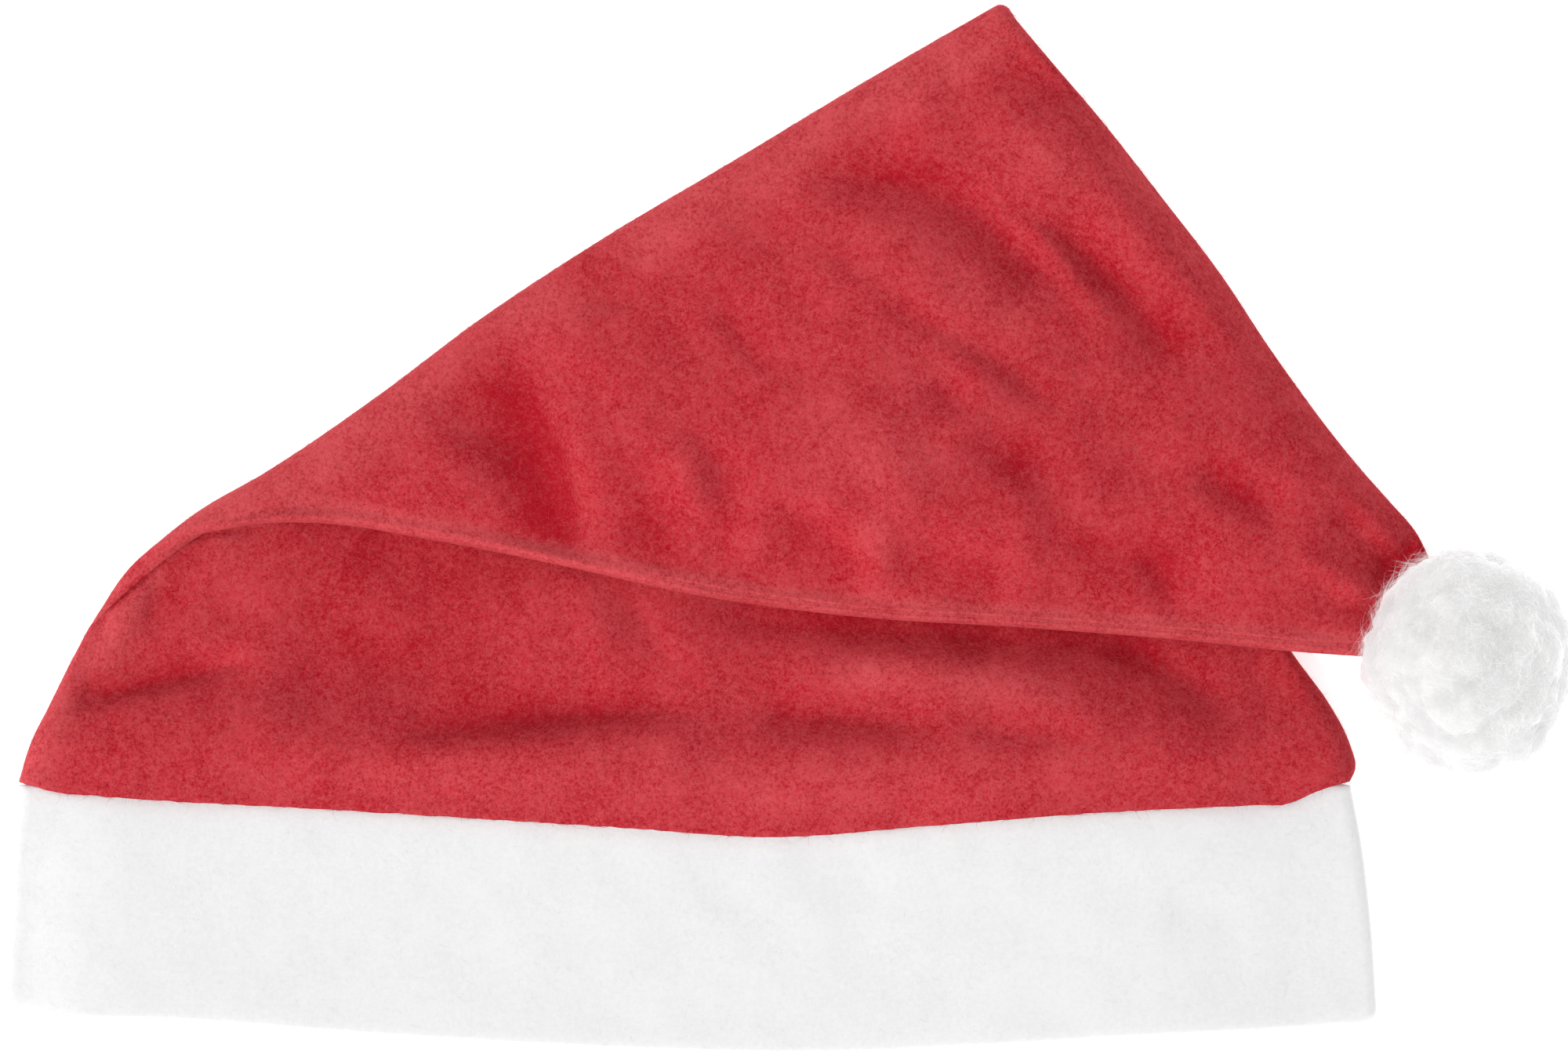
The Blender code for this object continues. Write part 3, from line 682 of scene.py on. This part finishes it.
def crown_rings(inset, stride):
    """Rings of the crown from the hem to the tip, on the outside or inset by the wall."""
    rings = [body_ring(raised_hem(BRIM_TUCK * step / TUCK_STEPS), inset) for step in range(TUCK_STEPS + 1)]
    for step in range(0, BODY_STEPS, stride):
        along = step / BODY_STEPS
        rings.append(body_ring(lambda across, along=along: body_patch(along, across), inset))
    for step in range(BEND_STEPS + 1):
        rings.append(bend_ring(math.pi * step / BEND_STEPS, inset))
    for step in range(stride, FLAP_STEPS + 1, stride):
        share = step / FLAP_STEPS
        rings.append(flap_ring(share * (1 + CROWDING * (1 - share)), inset))
    return np.array(rings)


def waver_hem(rings):
    """Makes the cut edge of the hem a little uneven, over the tuck's rings."""
    waver = HEM_WAVER * waves(rings[0][:, :1], WAVER_LENGTHS, seed=3)
    for step in range(TUCK_STEPS):
        rings[step][:, 1] += waver * (1 - step / TUCK_STEPS)


def closed_end(ring, way, depth):
    """Rings that round off the open end of a tube."""
    middle = ring.mean(axis=0)
    turns = math.pi / 2 * np.arange(1, TIP_STEPS) / TIP_STEPS
    return [middle + (ring - middle) * math.cos(turn) + way * depth * math.sin(turn) for turn in turns]


class Shell:
    """Points and faces of a closed mesh, put together from rings."""

    def __init__(self):
        self.points = []
        self.faces = []
        self.count = 0

    def add(self, points):
        """Adds points and gives the index of the first."""
        first = self.count
        self.points.append(points.reshape(-1, 3))
        self.count += len(self.points[-1])
        return first

    def tube(self, rings):
        """Quads along rings with as many points each; gives the first point of the tube."""
        first = self.add(rings)
        rows, columns = rings.shape[:2]
        for row in range(rows - 1):
            self.bridge(first + row * columns, first + (row + 1) * columns, columns)
        return first

    def bridge(self, low, high, columns):
        """Quads between two rings that start at the given points."""
        k = np.arange(columns)
        after = (k + 1) % columns
        self.faces.extend(np.column_stack([low + k, low + after, high + after, high + k]).tolist())

    def fan(self, ring, columns, point):
        """Closes a ring with triangles to one point."""
        middle = self.add(point[None])
        k = np.arange(columns)
        corners = ring + k, ring + (k + 1) % columns, np.full(columns, middle)
        self.faces.extend(np.column_stack(corners).tolist())

    def piece(self, name, finish):
        """The mesh as an object in the frame's place."""
        mesh = bpy.data.meshes.new(name)
        mesh.from_pydata(np.vstack(self.points) + SHIFT, [], self.faces)
        return shown(name, mesh, finish)


def shown(name, mesh, finish):
    """Links a mesh as an object with smooth faces that point out."""
    shape = bmesh.new()
    shape.from_mesh(mesh)
    bmesh.ops.recalc_face_normals(shape, faces=shape.faces[:])
    shape.to_mesh(mesh)
    shape.free()
    mesh.shade_smooth()
    mesh.materials.append(finish)
    return linked(name, mesh)


def linked(name, data):
    """A new object in the scene."""
    made = bpy.data.objects.new(name, data)
    bpy.context.scene.collection.objects.link(made)
    return made


def crown_painted_marks(rings):
    """Where the felt's colour is painted darker or lighter at every point, in shares of the fold depth:
    painted shade in the folds' dents and the seam's groove at the corner, painted light on the folds' ridges,
    along the seam's roll and along the crease and seam-side edges.
    """
    turned = TUCK_STEPS + 1 + BODY_STEPS + BEND_STEPS // 2
    layers = []
    for part, folds in ((rings[:turned], body_folds), (rings[turned:], flap_folds)):
        places = part.reshape(-1, 3)[:, :2]
        # the folds' heights for painted shade and light, and the seam's groove at the corner for painted
        # shade
        height = total(folds, places) + CORNER_PAINTED_SHADE * total(corner_folds, places)
        layers.append(height.reshape(part.shape[:2]) / FOLD_DEPTH)
    from_seam = flap_seam_side.distance(places).reshape(layers[1].shape)
    layers[1] *= smooth((from_seam - SEAM_ROLL_PLACE) / SEAM_ZONE)
    # painted light along the seam's roll on the flap
    layers[1] += SEAM_PAINTED_LIGHT * seam_roll(from_seam)
    painted_marks = np.vstack(layers)
    places = rings.reshape(-1, 3)[:, :2]
    # painted light along the crease and the seam side
    from_edge = np.minimum(np.abs(crease.distance(places)), np.abs(whole_seam_side.distance(places)))
    return painted_marks + EDGE_PAINTED_LIGHT * np.exp(-(from_edge / EDGE_PAINTED_LIGHT_WIDTH) ** 2).reshape(painted_marks.shape)


def make_crown(finish):
    """The felt cone, outside and inside. It keeps its folds' heights, with the seam and the edges, for the
    finish to paint shade and light by.
    """
    shell = Shell()
    outer = crown_rings(0.0, 1)
    inner = crown_rings(FELT_WALL, INNER_STRIDE)
    waver_hem(outer)
    waver_hem(inner)
    forward = tip(0.5) - flap_patch(TIP_AIM, np.array([0.5]))[0]
    way = np.append(forward / np.linalg.norm(forward), 0.0)
    last_turn = math.pi / 2 * (1 - 1 / TIP_STEPS)
    columns = outer.shape[1]
    hems = []
    for rings, depth in ((outer, TIP_ROUND), (inner, TIP_ROUND - FELT_WALL)):
        rings = np.vstack([rings, closed_end(rings[-1], way, depth)])
        hems.append(shell.tube(rings))
        end = rings[-1].mean(axis=0) + way * depth * (1 - math.sin(last_turn))
        shell.fan(shell.count - columns, columns, end)
    shell.bridge(hems[1], hems[0], columns)
    piece = shell.piece("crown_felt", finish)
    # the painted shade and light that the felt's finish reads, on the outer wall only
    painted_shade_and_light = np.zeros(shell.count)
    painted_shade_and_light[:outer[..., 0].size] = crown_painted_marks(outer).ravel()
    piece.data.attributes.new(FOLD_PAINTED_SHADE_AND_LIGHT, "FLOAT", "POINT").data.foreach_set("value", painted_shade_and_light)
    return piece


def tucked_ring(depth, inset):
    """A ring of the brim inside the crown's hem, clear of the crown's wall."""
    return body_ring(raised_hem(depth), HEM_INSET + inset)


def brim_ring(share, inset):
    """A ring of the brim below the hem, where it spreads out from the tuck onto the floor."""
    tucked = 1 - smooth(share * BRIM_HEIGHT / HEM_STEP)
    radius = BRIM_RADIUS + HEM_INSET * tucked
    lift = HEM_INSET * (tucked + 1 - smooth(share * BRIM_HEIGHT / HEM_FALL))
    ring = flat_ring(lambda across: brim_patch(share, across),
                     lambda places, inner: lower_top(places, BRIM_RADIUS, BRIM_RIPPLE, inner) + lift,
                     floor_level, (radius, radius), inset + HEM_INSET * tucked,
                     1 - BRIM_SQUARENESS * (1 - tucked))[0]
    fleece = FLEECE_HEIGHT * waves(ring, FLEECE_LENGTHS, seed=4) * (1 - tucked)
    ring[:, 2] += np.where(ring[:, 2] > radius, fleece, 0.0)
    return ring


def make_band(finish):
    """The brim: a flattened ring, its upper edge tucked inside the crown's hem."""
    shell = Shell()
    tucks = [BRIM_TUCK * (1 - step / TUCK_STEPS) for step in range(TUCK_STEPS)]
    shares = (np.arange(BRIM_STEPS) / BRIM_STEPS) ** BRIM_CROWDING
    rim = 1.0 - BRIM_WALL / 2 / BRIM_HEIGHT
    walls = []
    for inset in (0.0, BRIM_WALL):
        rings = [tucked_ring(depth, inset) for depth in tucks]
        rings += [brim_ring(share, inset) for share in shares[shares < rim - RIM_MARGIN]]
        turns = np.linspace(0.0, math.pi / 2, EDGE_STEPS + 1)
        for turn in turns:
            share = rim + (1 - rim) * math.sin(turn)
            middle = BRIM_WALL / 2
            rings.append(brim_ring(share, middle + (inset - middle) * math.cos(turn)))
        walls.append(np.array(rings[:-1] if inset else rings))
    outer, inner = walls
    columns = outer.shape[1]
    outer_first = shell.tube(outer)
    outer_last = shell.count - columns
    inner_first = shell.tube(inner)
    shell.bridge(inner_first, outer_first, columns)
    shell.bridge(outer_last, shell.count - columns, columns)
    return shell.piece("band_fleece", finish)


def even_directions(count):
    """Directions spread evenly over a ball."""
    index = np.arange(count) + 0.5
    height = 1 - 2 * index / count
    turn = index * math.pi * (3 - math.sqrt(5))
    flat = np.sqrt(1 - height**2)
    return np.column_stack([flat * np.cos(turn), flat * np.sin(turn), height])


def lock_relief(directions):
    """Height of the pompom's locks in each direction, from 0 in a parting to 1 on a crest."""
    draw = np.random.default_rng(5)
    middles = even_directions(POMPOM_LOCKS) + draw.normal(0, LOCK_SCATTER, (POMPOM_LOCKS, 3))
    middles /= np.linalg.norm(middles, axis=1)[:, None]
    radius = (POMPOM_WIDTH + POMPOM_LENGTH + POMPOM_HEIGHT) / 6
    crest = np.zeros(len(directions))
    for middle in middles:
        lay = np.cross(middle, draw.normal(0, 1, 3))
        lay /= np.linalg.norm(lay)
        across = np.cross(middle, lay)
        size = draw.uniform(*LOCK_SIZES) * LOCK_WIDTH / radius
        off = np.hypot(directions @ lay / (size * LOCK_STRETCH), directions @ across / size)
        height = np.sqrt(np.clip(1 - off**2, 0.0, 1.0)) * draw.uniform(*LOCK_HEIGHTS)
        crest = np.maximum(crest, np.where(directions @ middle > 0, height, 0.0))
    return crest


def pompom_reach(directions):
    """How far the pompom reaches from its middle in each direction, pressed flat underneath."""
    half = np.array([POMPOM_WIDTH, POMPOM_LENGTH, POMPOM_HEIGHT]) / 2
    azimuth = np.degrees(np.arctan2(directions[:, 1], directions[:, 0])) % 360
    corners = np.linspace(0, 360, len(POMPOM_OUTLINE) + 1)
    outline = np.interp(azimuth, corners, POMPOM_OUTLINE + POMPOM_OUTLINE[:1])
    level = np.hypot(directions[:, 0], directions[:, 1])
    ball = (1 + (outline - 1) * level) / np.linalg.norm(directions / half, axis=1)
    pressed = smooth((1 + directions[:, 2]) / PRESSED_SHARE)
    billows = BILLOW_HEIGHT * waves(directions * half.mean(), BILLOW_LENGTHS, seed=6)
    curls = np.clip(waves(directions * half.mean(), CURL_LENGTHS, seed=7), 0.0, None) ** CURL_SHARPNESS
    locks = LOCK_DEPTH * (lock_relief(directions) - CREST_SHARE)
    reach = ball + (locks + billows + CURL_HEIGHT * curls) * pressed
    for turn, tilt, length, width in TUFTS:
        turn, tilt = math.radians(turn), math.radians(tilt)
        way = np.array([math.cos(turn) * math.cos(tilt), math.sin(turn) * math.cos(tilt), math.sin(tilt)])
        reach += length * np.exp(-(np.linalg.norm(directions - way, axis=1) * half.mean() / width) ** 2)
    return reach


def search_tree(piece):
    """A piece's faces, ready for rays."""
    mesh = piece.data
    return BVHTree.FromPolygons([v.co for v in mesh.vertices], [p.vertices for p in mesh.polygons])


def make_pompom(felt, finish):
    """The cotton ball, clear of the felt at the crown's tip."""
    offset = np.array(POMPOM_OFFSET) * (POMPOM_WIDTH, POMPOM_LENGTH)
    middle = Vector(np.append(tip(0.5) + offset, POMPOM_HEIGHT / 2 - REST_DEPTH) + SHIFT)
    room = CLEARANCE + LOCK_ROOM
    shape = bmesh.new()
    bmesh.ops.create_icosphere(shape, subdivisions=BALL_LEVELS, radius=1.0)
    directions = np.array([v.co for v in shape.verts])
    directions /= np.linalg.norm(directions, axis=1)[:, None]
    for vertex, way, length in zip(shape.verts, directions, pompom_reach(directions)):
        way = Vector(way)
        hit = felt.ray_cast(middle, way, length + room)[3]
        length = min(length, hit - room) if hit else length
        point = middle + way * length
        vertex.co = (point.x, point.y, max(point.z, 0.0))
    mesh = bpy.data.meshes.new("pompom_cotton")
    shape.to_mesh(mesh)
    shape.free()
    return shown("pompom_cotton", mesh, finish)


def surface_points(piece, pile, draw, cover):
    """Points spread over a piece's surface where nothing covers it, and the way out at each."""
    mesh = piece.data
    mesh.calc_loop_triangles()
    corners = np.empty(len(mesh.loop_triangles) * 3, dtype=np.int32)
    mesh.loop_triangles.foreach_get("vertices", corners)
    places = np.empty(len(mesh.vertices) * 3)
    mesh.vertices.foreach_get("co", places)
    a, b, c = (places.reshape(-1, 3)[corners[k::3]] for k in range(3))
    across = np.cross(b - a, c - a)
    size = np.linalg.norm(across, axis=1)
    facing = across / np.maximum(size, 1e-15)[:, None]
    weight = size * np.where(facing[:, 2] > DOWNWARD, 1.0, pile.under)
    tries = SPARE_ROOTS * pile.count
    pick = draw.choice(len(size), tries, p=weight / weight.sum())
    u, v = draw.random((2, tries, 1))
    u, v = np.where(u + v > 1, 1 - u, u), np.where(u + v > 1, 1 - v, v)
    points = a[pick] + u * (b - a)[pick] + v * (c - a)[pick]
    out = facing[pick]
    clear = [cover.ray_cast(Vector(p + n * COVER_START), Vector(n), COVER_REACH)[0] is None
             for p, n in zip(points, out)]
    chosen = np.flatnonzero(clear)[:pile.count]
    return points[chosen], out[chosen]


def fibres(name, piece, pile, draw, cover, finish):
    """A piece's pile: joined thin closed tapers that lie over its surface, and none in the floor."""
    roots, out = surface_points(piece, pile, draw, cover)
    count = len(roots)
    side = np.cross(out, draw.normal(0, 1, (count, 3)))
    side /= np.linalg.norm(side, axis=1)[:, None]
    across = np.cross(out, side)
    run = draw.uniform(*pile.lengths, (count, 1))
    bend = draw.uniform(-pile.curl, pile.curl, (count, 1))
    up = draw.uniform(0.0, pile.lift, (count, 1))
    shares = np.linspace(0.0, 1.0, pile.joints + 1)
    line = []
    for s in shares:
        rise = up * s * (1 + FIBRE_ARCH - FIBRE_ARCH * s) - FIBRE_RADIUS - pile.bow / 2 * (run * s) ** 2
        middle = roots + side * run * s * np.cos(bend * s) + across * run * s * np.sin(bend * s) + out * rise
        middle[:, 2] = np.maximum(middle[:, 2], 2 * FIBRE_RADIUS)
        line.append(middle)
    turns = np.arange(3) * 2 * math.pi / 3
    points = []
    for s, middle in zip(shares[:-1], line[:-1]):
        wide = FIBRE_RADIUS * (1 - FIBRE_TAPER * s)
        points += [middle + wide * (math.cos(t) * across + math.sin(t) * out) for t in turns]
    points.append(line[-1])
    points = np.stack(points, axis=1)
    per = points.shape[1]
    tapered = [(0, 2, 1)]
    for joint in range(pile.joints - 1):
        for k in range(3):
            low, low_after = 3 * joint + k, 3 * joint + (k + 1) % 3
            tapered += [(low, low_after, low_after + 3), (low, low_after + 3, low + 3)]
    last = 3 * (pile.joints - 1)
    tapered += [(last + k, last + (k + 1) % 3, per - 1) for k in range(3)]
    faces = (np.arange(count)[:, None, None] * per + np.array(tapered)).reshape(-1, 3)
    mesh = bpy.data.meshes.new(name)
    mesh.from_pydata(points.reshape(-1, 3), [], faces.tolist())
    return shown(name, mesh, finish)


def maths(operation, swapped=False):
    """An operator of sockets that adds one node of the given operation."""
    def apply(self, other=0.0):
        first, second = (other, self) if swapped else (self, other)
        return self.finish.node("ShaderNodeMath", {"operation": operation}, {0: first, 1: second})
    return apply


class Socket:
    """One output of a finish's nodes, with Python's arithmetic for numbers."""

    def __init__(self, finish, output):
        self.finish = finish
        self.output = output

    __add__ = __radd__ = maths("ADD")
    __sub__ = maths("SUBTRACT")
    __rsub__ = maths("SUBTRACT", swapped=True)
    __mul__ = maths("MULTIPLY")
    __pow__ = maths("POWER")
    __abs__ = maths("ABSOLUTE")


class Finish:
    """One material, and the few ways of adding nodes to it."""

    MIX_COLOURS = (0, 6, 7, 2)

    def __init__(self, name):
        self.material = bpy.data.materials.new(name)
        self.material.use_nodes = True
        self.tree = self.material.node_tree
        self.tree.nodes.clear()
        self.place = self.node("ShaderNodeTexCoord", output="Object")

    def node(self, kind, settings=(), sockets=(), output=0):
        """Adds one node: its settings first, then the values or links of its sockets."""
        made = self.tree.nodes.new(kind)
        for name, value in dict(settings).items():
            setattr(made, name, value)
        for key, value in dict(sockets).items():
            if isinstance(value, Socket):
                self.tree.links.new(value.output, made.inputs[key])
            else:
                made.inputs[key].default_value = value
        return Socket(self, made.outputs[output]) if made.outputs else None

    def noise(self, size, seed, detail=2.0, roughness=0.5, distortion=0.0):
        """Noise whose lumps are about the given size."""
        return self.node("ShaderNodeTexNoise", {"noise_dimensions": "4D"},
                         {"Vector": self.place, "W": seed, "Scale": 1 / size, "Detail": detail,
                          "Roughness": roughness, "Distortion": distortion})

    def rise(self, value, start, end):
        """A soft step of a value from 0 at the start to 1 at the end."""
        return self.node("ShaderNodeMapRange", {"interpolation_type": "SMOOTHSTEP"},
                         {"Value": value, "From Min": start, "From Max": end})

    def strands(self, size, seed, sharpness):
        """Fine wandering lines, as of fibres that lie on the cloth."""
        return (1 - abs(self.noise(size, seed, roughness=0.6, distortion=1.2) * 2 - 1)) ** sharpness

    def mix(self, share, first, second):
        """A colour between two others."""
        factor, a, b, result = self.MIX_COLOURS
        return self.node("ShaderNodeMix", {"data_type": "RGBA"}, {factor: share, a: first, b: second}, result)

    def bump(self, height, depth):
        """The surface's normal with a height in shares of a depth in metres."""
        return self.node("ShaderNodeBump", {}, {"Height": height, "Distance": depth, "Strength": 1.0})

    def surface(self, **sockets):
        """Closes the finish with its shader and gives the material."""
        shader = self.node("ShaderNodeBsdfPrincipled", {},
                           {key.replace("_", " "): value for key, value in sockets.items()})
        self.node("ShaderNodeOutputMaterial", {}, {"Surface": shader})
        return self.material


def colour(levels):
    """A linear colour from its levels on the everyday 0 to 255 scale."""
    def linear(value):
        share = value / 255
        return share / 12.92 if share <= 0.04045 else ((share + 0.055) / 1.055) ** 2.4
    return (*map(linear, levels), 1.0)


def felt_finish(name):
    """Red felt: a fine pale pile over crimson, which shows in its pores; painted shade darkens the folds'
    dents and the seam's groove, and painted light lightens the folds' ridges, the seam's roll and the edges.
    """
    felt = Finish(name)
    cloud = felt.noise(0.010, seed=1.0, detail=3.0, roughness=0.6)
    pores = felt.noise(0.0007, seed=2.0, detail=3.0, roughness=0.7)
    grain = felt.noise(0.00035, seed=3.0, roughness=0.6)
    folds = felt.node("ShaderNodeAttribute", {"attribute_name": FOLD_PAINTED_SHADE_AND_LIGHT}, output="Fac")
    # painted shade and light from the crown's point attribute, with a random tone from the cloud
    painted_shade_and_light = folds + (cloud - 0.5) * 0.6
    hollow = felt.rise(painted_shade_and_light, 0.0, -0.9)
    raised = felt.rise(painted_shade_and_light, 0.0, 0.8)
    # painted shade also thins the pale pile a little in the folds' dents
    pile = felt.rise(pores * 0.55 + grain * 0.25 + cloud * 0.20 - hollow * 0.07, 0.36, 0.58)
    pale = (felt.strands(0.0008, seed=5.0, sharpness=12.0)
            * felt.rise(felt.noise(0.0015, seed=7.0), 0.42, 0.60))
    base = felt.mix(pile, colour(FELT_CRIMSON), colour(FELT_RED))
    base = felt.mix(pale * FELT_HAIR_SHARE, base, colour(FELT_HAIR))
    # painted shade in the folds' dents, painted light on their ridges, the seam's roll and the edges
    base = felt.mix(hollow * (0.60 - pile * 0.30), base, colour(FELT_PAINTED_SHADE))
    base = felt.mix(raised * (0.12 + pile * 0.28), base, colour(FELT_PAINTED_LIGHT))
    height = pores * 0.6 + grain * 0.4
    return felt.surface(Base_Color=base, Roughness=0.95, Normal=felt.bump(height, 0.00025),
                        Specular_IOR_Level=0.1, Sheen_Weight=0.15, Sheen_Roughness=0.5,
                        Sheen_Tint=colour(FELT_SHEEN))


def fleece_finish(name):
    """White fleece: a close pile with a breath of grey in its hollows, and an even glow of painted light."""
    fleece = Finish(name)
    cloud = fleece.noise(0.012, seed=11.0, detail=3.0, roughness=0.6)
    lump = fleece.noise(0.0010, seed=12.0, detail=3.0, roughness=0.6)
    grain = fleece.noise(0.0005, seed=13.0, roughness=0.6)
    pile = fleece.rise(lump * 0.7 + cloud * 0.3, 0.30, 0.66)
    base = fleece.mix(pile, colour(FLEECE_GREY), colour(FLEECE_WHITE))
    height = lump * 0.6 + grain * 0.4
    # the emission is an even glow of painted light
    return fleece.surface(Base_Color=base, Roughness=1.0, Normal=fleece.bump(height, 0.00012),
                          Specular_IOR_Level=0.1, Sheen_Weight=0.1, Sheen_Roughness=0.5,
                          Subsurface_Weight=0.6, Subsurface_Scale=0.003, Subsurface_Radius=(1.0, 1.0, 1.0),
                          Emission_Color=colour(WHITE), Emission_Strength=FLEECE_PAINTED_LIGHT)


def cotton_finish(name):
    """Loose white cotton that light goes deep into, a little grey at random, with a glow of painted light and
    painted shade towards its lower part.
    """
    cotton = Finish(name)
    cloud = cotton.noise(0.005, seed=21.0, detail=3.0, roughness=0.6)
    pale = cotton.strands(0.0016, seed=22.0, sharpness=5.0)
    level = cotton.node("ShaderNodeSeparateXYZ", {}, {"Vector": cotton.place}, "Z")
    # painted shade: the cotton is darker towards its lower part
    low = cotton.rise(level, 0.036, 0.014)
    base = cotton.mix(cotton.rise(cloud, 0.3, 0.7), colour(COTTON_GREY), colour(COTTON_WHITE))
    base = cotton.mix(low, base, colour(COTTON_PAINTED_SHADE))
    # the glow is painted light, dimmed towards the lower part as painted shade
    glow = cotton.mix(low, colour(WHITE), colour(COTTON_PAINTED_SHADE_LIGHT))
    height = cloud * 0.5 + pale * 0.5
    return cotton.surface(Base_Color=base, Roughness=1.0, Normal=cotton.bump(height, 0.00030),
                          Specular_IOR_Level=0.1, Subsurface_Weight=1.0, Subsurface_Scale=0.040,
                          Subsurface_Radius=(1.0, 1.0, 1.0), Emission_Color=glow,
                          Emission_Strength=COTTON_PAINTED_LIGHT)


def plain_finish(name, levels, glow=0.0):
    """An even matt colour, which may glow a little."""
    return Finish(name).surface(Base_Color=colour(levels), Roughness=1.0, Specular_IOR_Level=0.0,
                                Emission_Color=colour(WHITE), Emission_Strength=glow)


def worn_by(piece, node):
    """Puts a piece on the frame, in place of a node if one is named."""
    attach(piece, "root")
    if node:
        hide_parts(node)


def make_hat():
    """The three cloths and their fibres."""
    draw = np.random.default_rng(8)
    felt = felt_finish("red felt")
    felt_fibre = plain_finish("red felt fibres", FELT_FIBRE)
    fleece = fleece_finish("white fleece")
    cotton = cotton_finish("white cotton")
    crown = make_crown(felt)
    band = make_band(fleece)
    cover = search_tree(crown)
    pompom = make_pompom(cover, cotton)
    worn_by(crown, "crown")
    worn_by(band, "band")
    worn_by(pompom, "pompom")
    for name, piece, pile, finish, slot in (
            ("crown_fibres", crown, FELT_PILE, felt_fibre, "red_felt"),
            ("crown_fuzz", crown, FELT_PILE, felt_fibre, "red_felt"),
            ("band_fibres", band, FLEECE_PILE, fleece, "white_fleece"),
            ("pompom_fibres", pompom, COTTON_PILE, cotton, "white_cotton")):
        worn_by(fibres(name, piece, pile, draw, cover, finish), None)


def make_camera():
    """The camera straight above, with the photograph's frame."""
    camera = linked("camera", bpy.data.cameras.new("camera"))
    camera.location = (*VIEW_MIDDLE, CAMERA_HEIGHT)
    camera.data.sensor_width = SENSOR_WIDTH
    camera.data.lens = SENSOR_WIDTH * CAMERA_HEIGHT * PIXELS_PER_METRE / PHOTO_WIDTH
    camera.data.clip_end = 2 * CAMERA_HEIGHT
    bpy.context.scene.camera = camera


def make_studio():
    """A pale floor, an even sky and one soft light from the lower left."""
    mesh = bpy.data.meshes.new("floor")
    half = FLOOR_SIZE / 2
    corners = [(-half, -half, 0), (half, -half, 0), (half, half, 0), (-half, half, 0)]
    mesh.from_pydata(corners, [], [(0, 1, 2, 3)])
    mesh.materials.append(plain_finish("pale floor", FLOOR_WHITE, FLOOR_GLOW))
    floor = linked("floor", mesh)
    floor.location.z = -FLOOR_DROP
    light = bpy.data.lights.new("soft light", "SUN")
    light.energy = LIGHT_STRENGTH
    light.angle = math.radians(LIGHT_SPREAD)
    lamp = linked("soft light", light)
    azimuth, elevation = math.radians(LIGHT_AZIMUTH), math.radians(LIGHT_ELEVATION)
    towards = Vector((math.cos(azimuth) * math.cos(elevation), math.sin(azimuth) * math.cos(elevation),
                      math.sin(elevation)))
    lamp.rotation_euler = towards.to_track_quat("Z", "Y").to_euler()
    world = bpy.data.worlds.new("even sky")
    world.use_nodes = True
    background = world.node_tree.nodes["Background"].inputs
    background["Color"].default_value = colour(WHITE)
    background["Strength"].default_value = SKY_STRENGTH
    bpy.context.scene.world = world
    bpy.context.scene.view_settings.view_transform = "Standard"


make_camera()
make_hat()
make_studio()
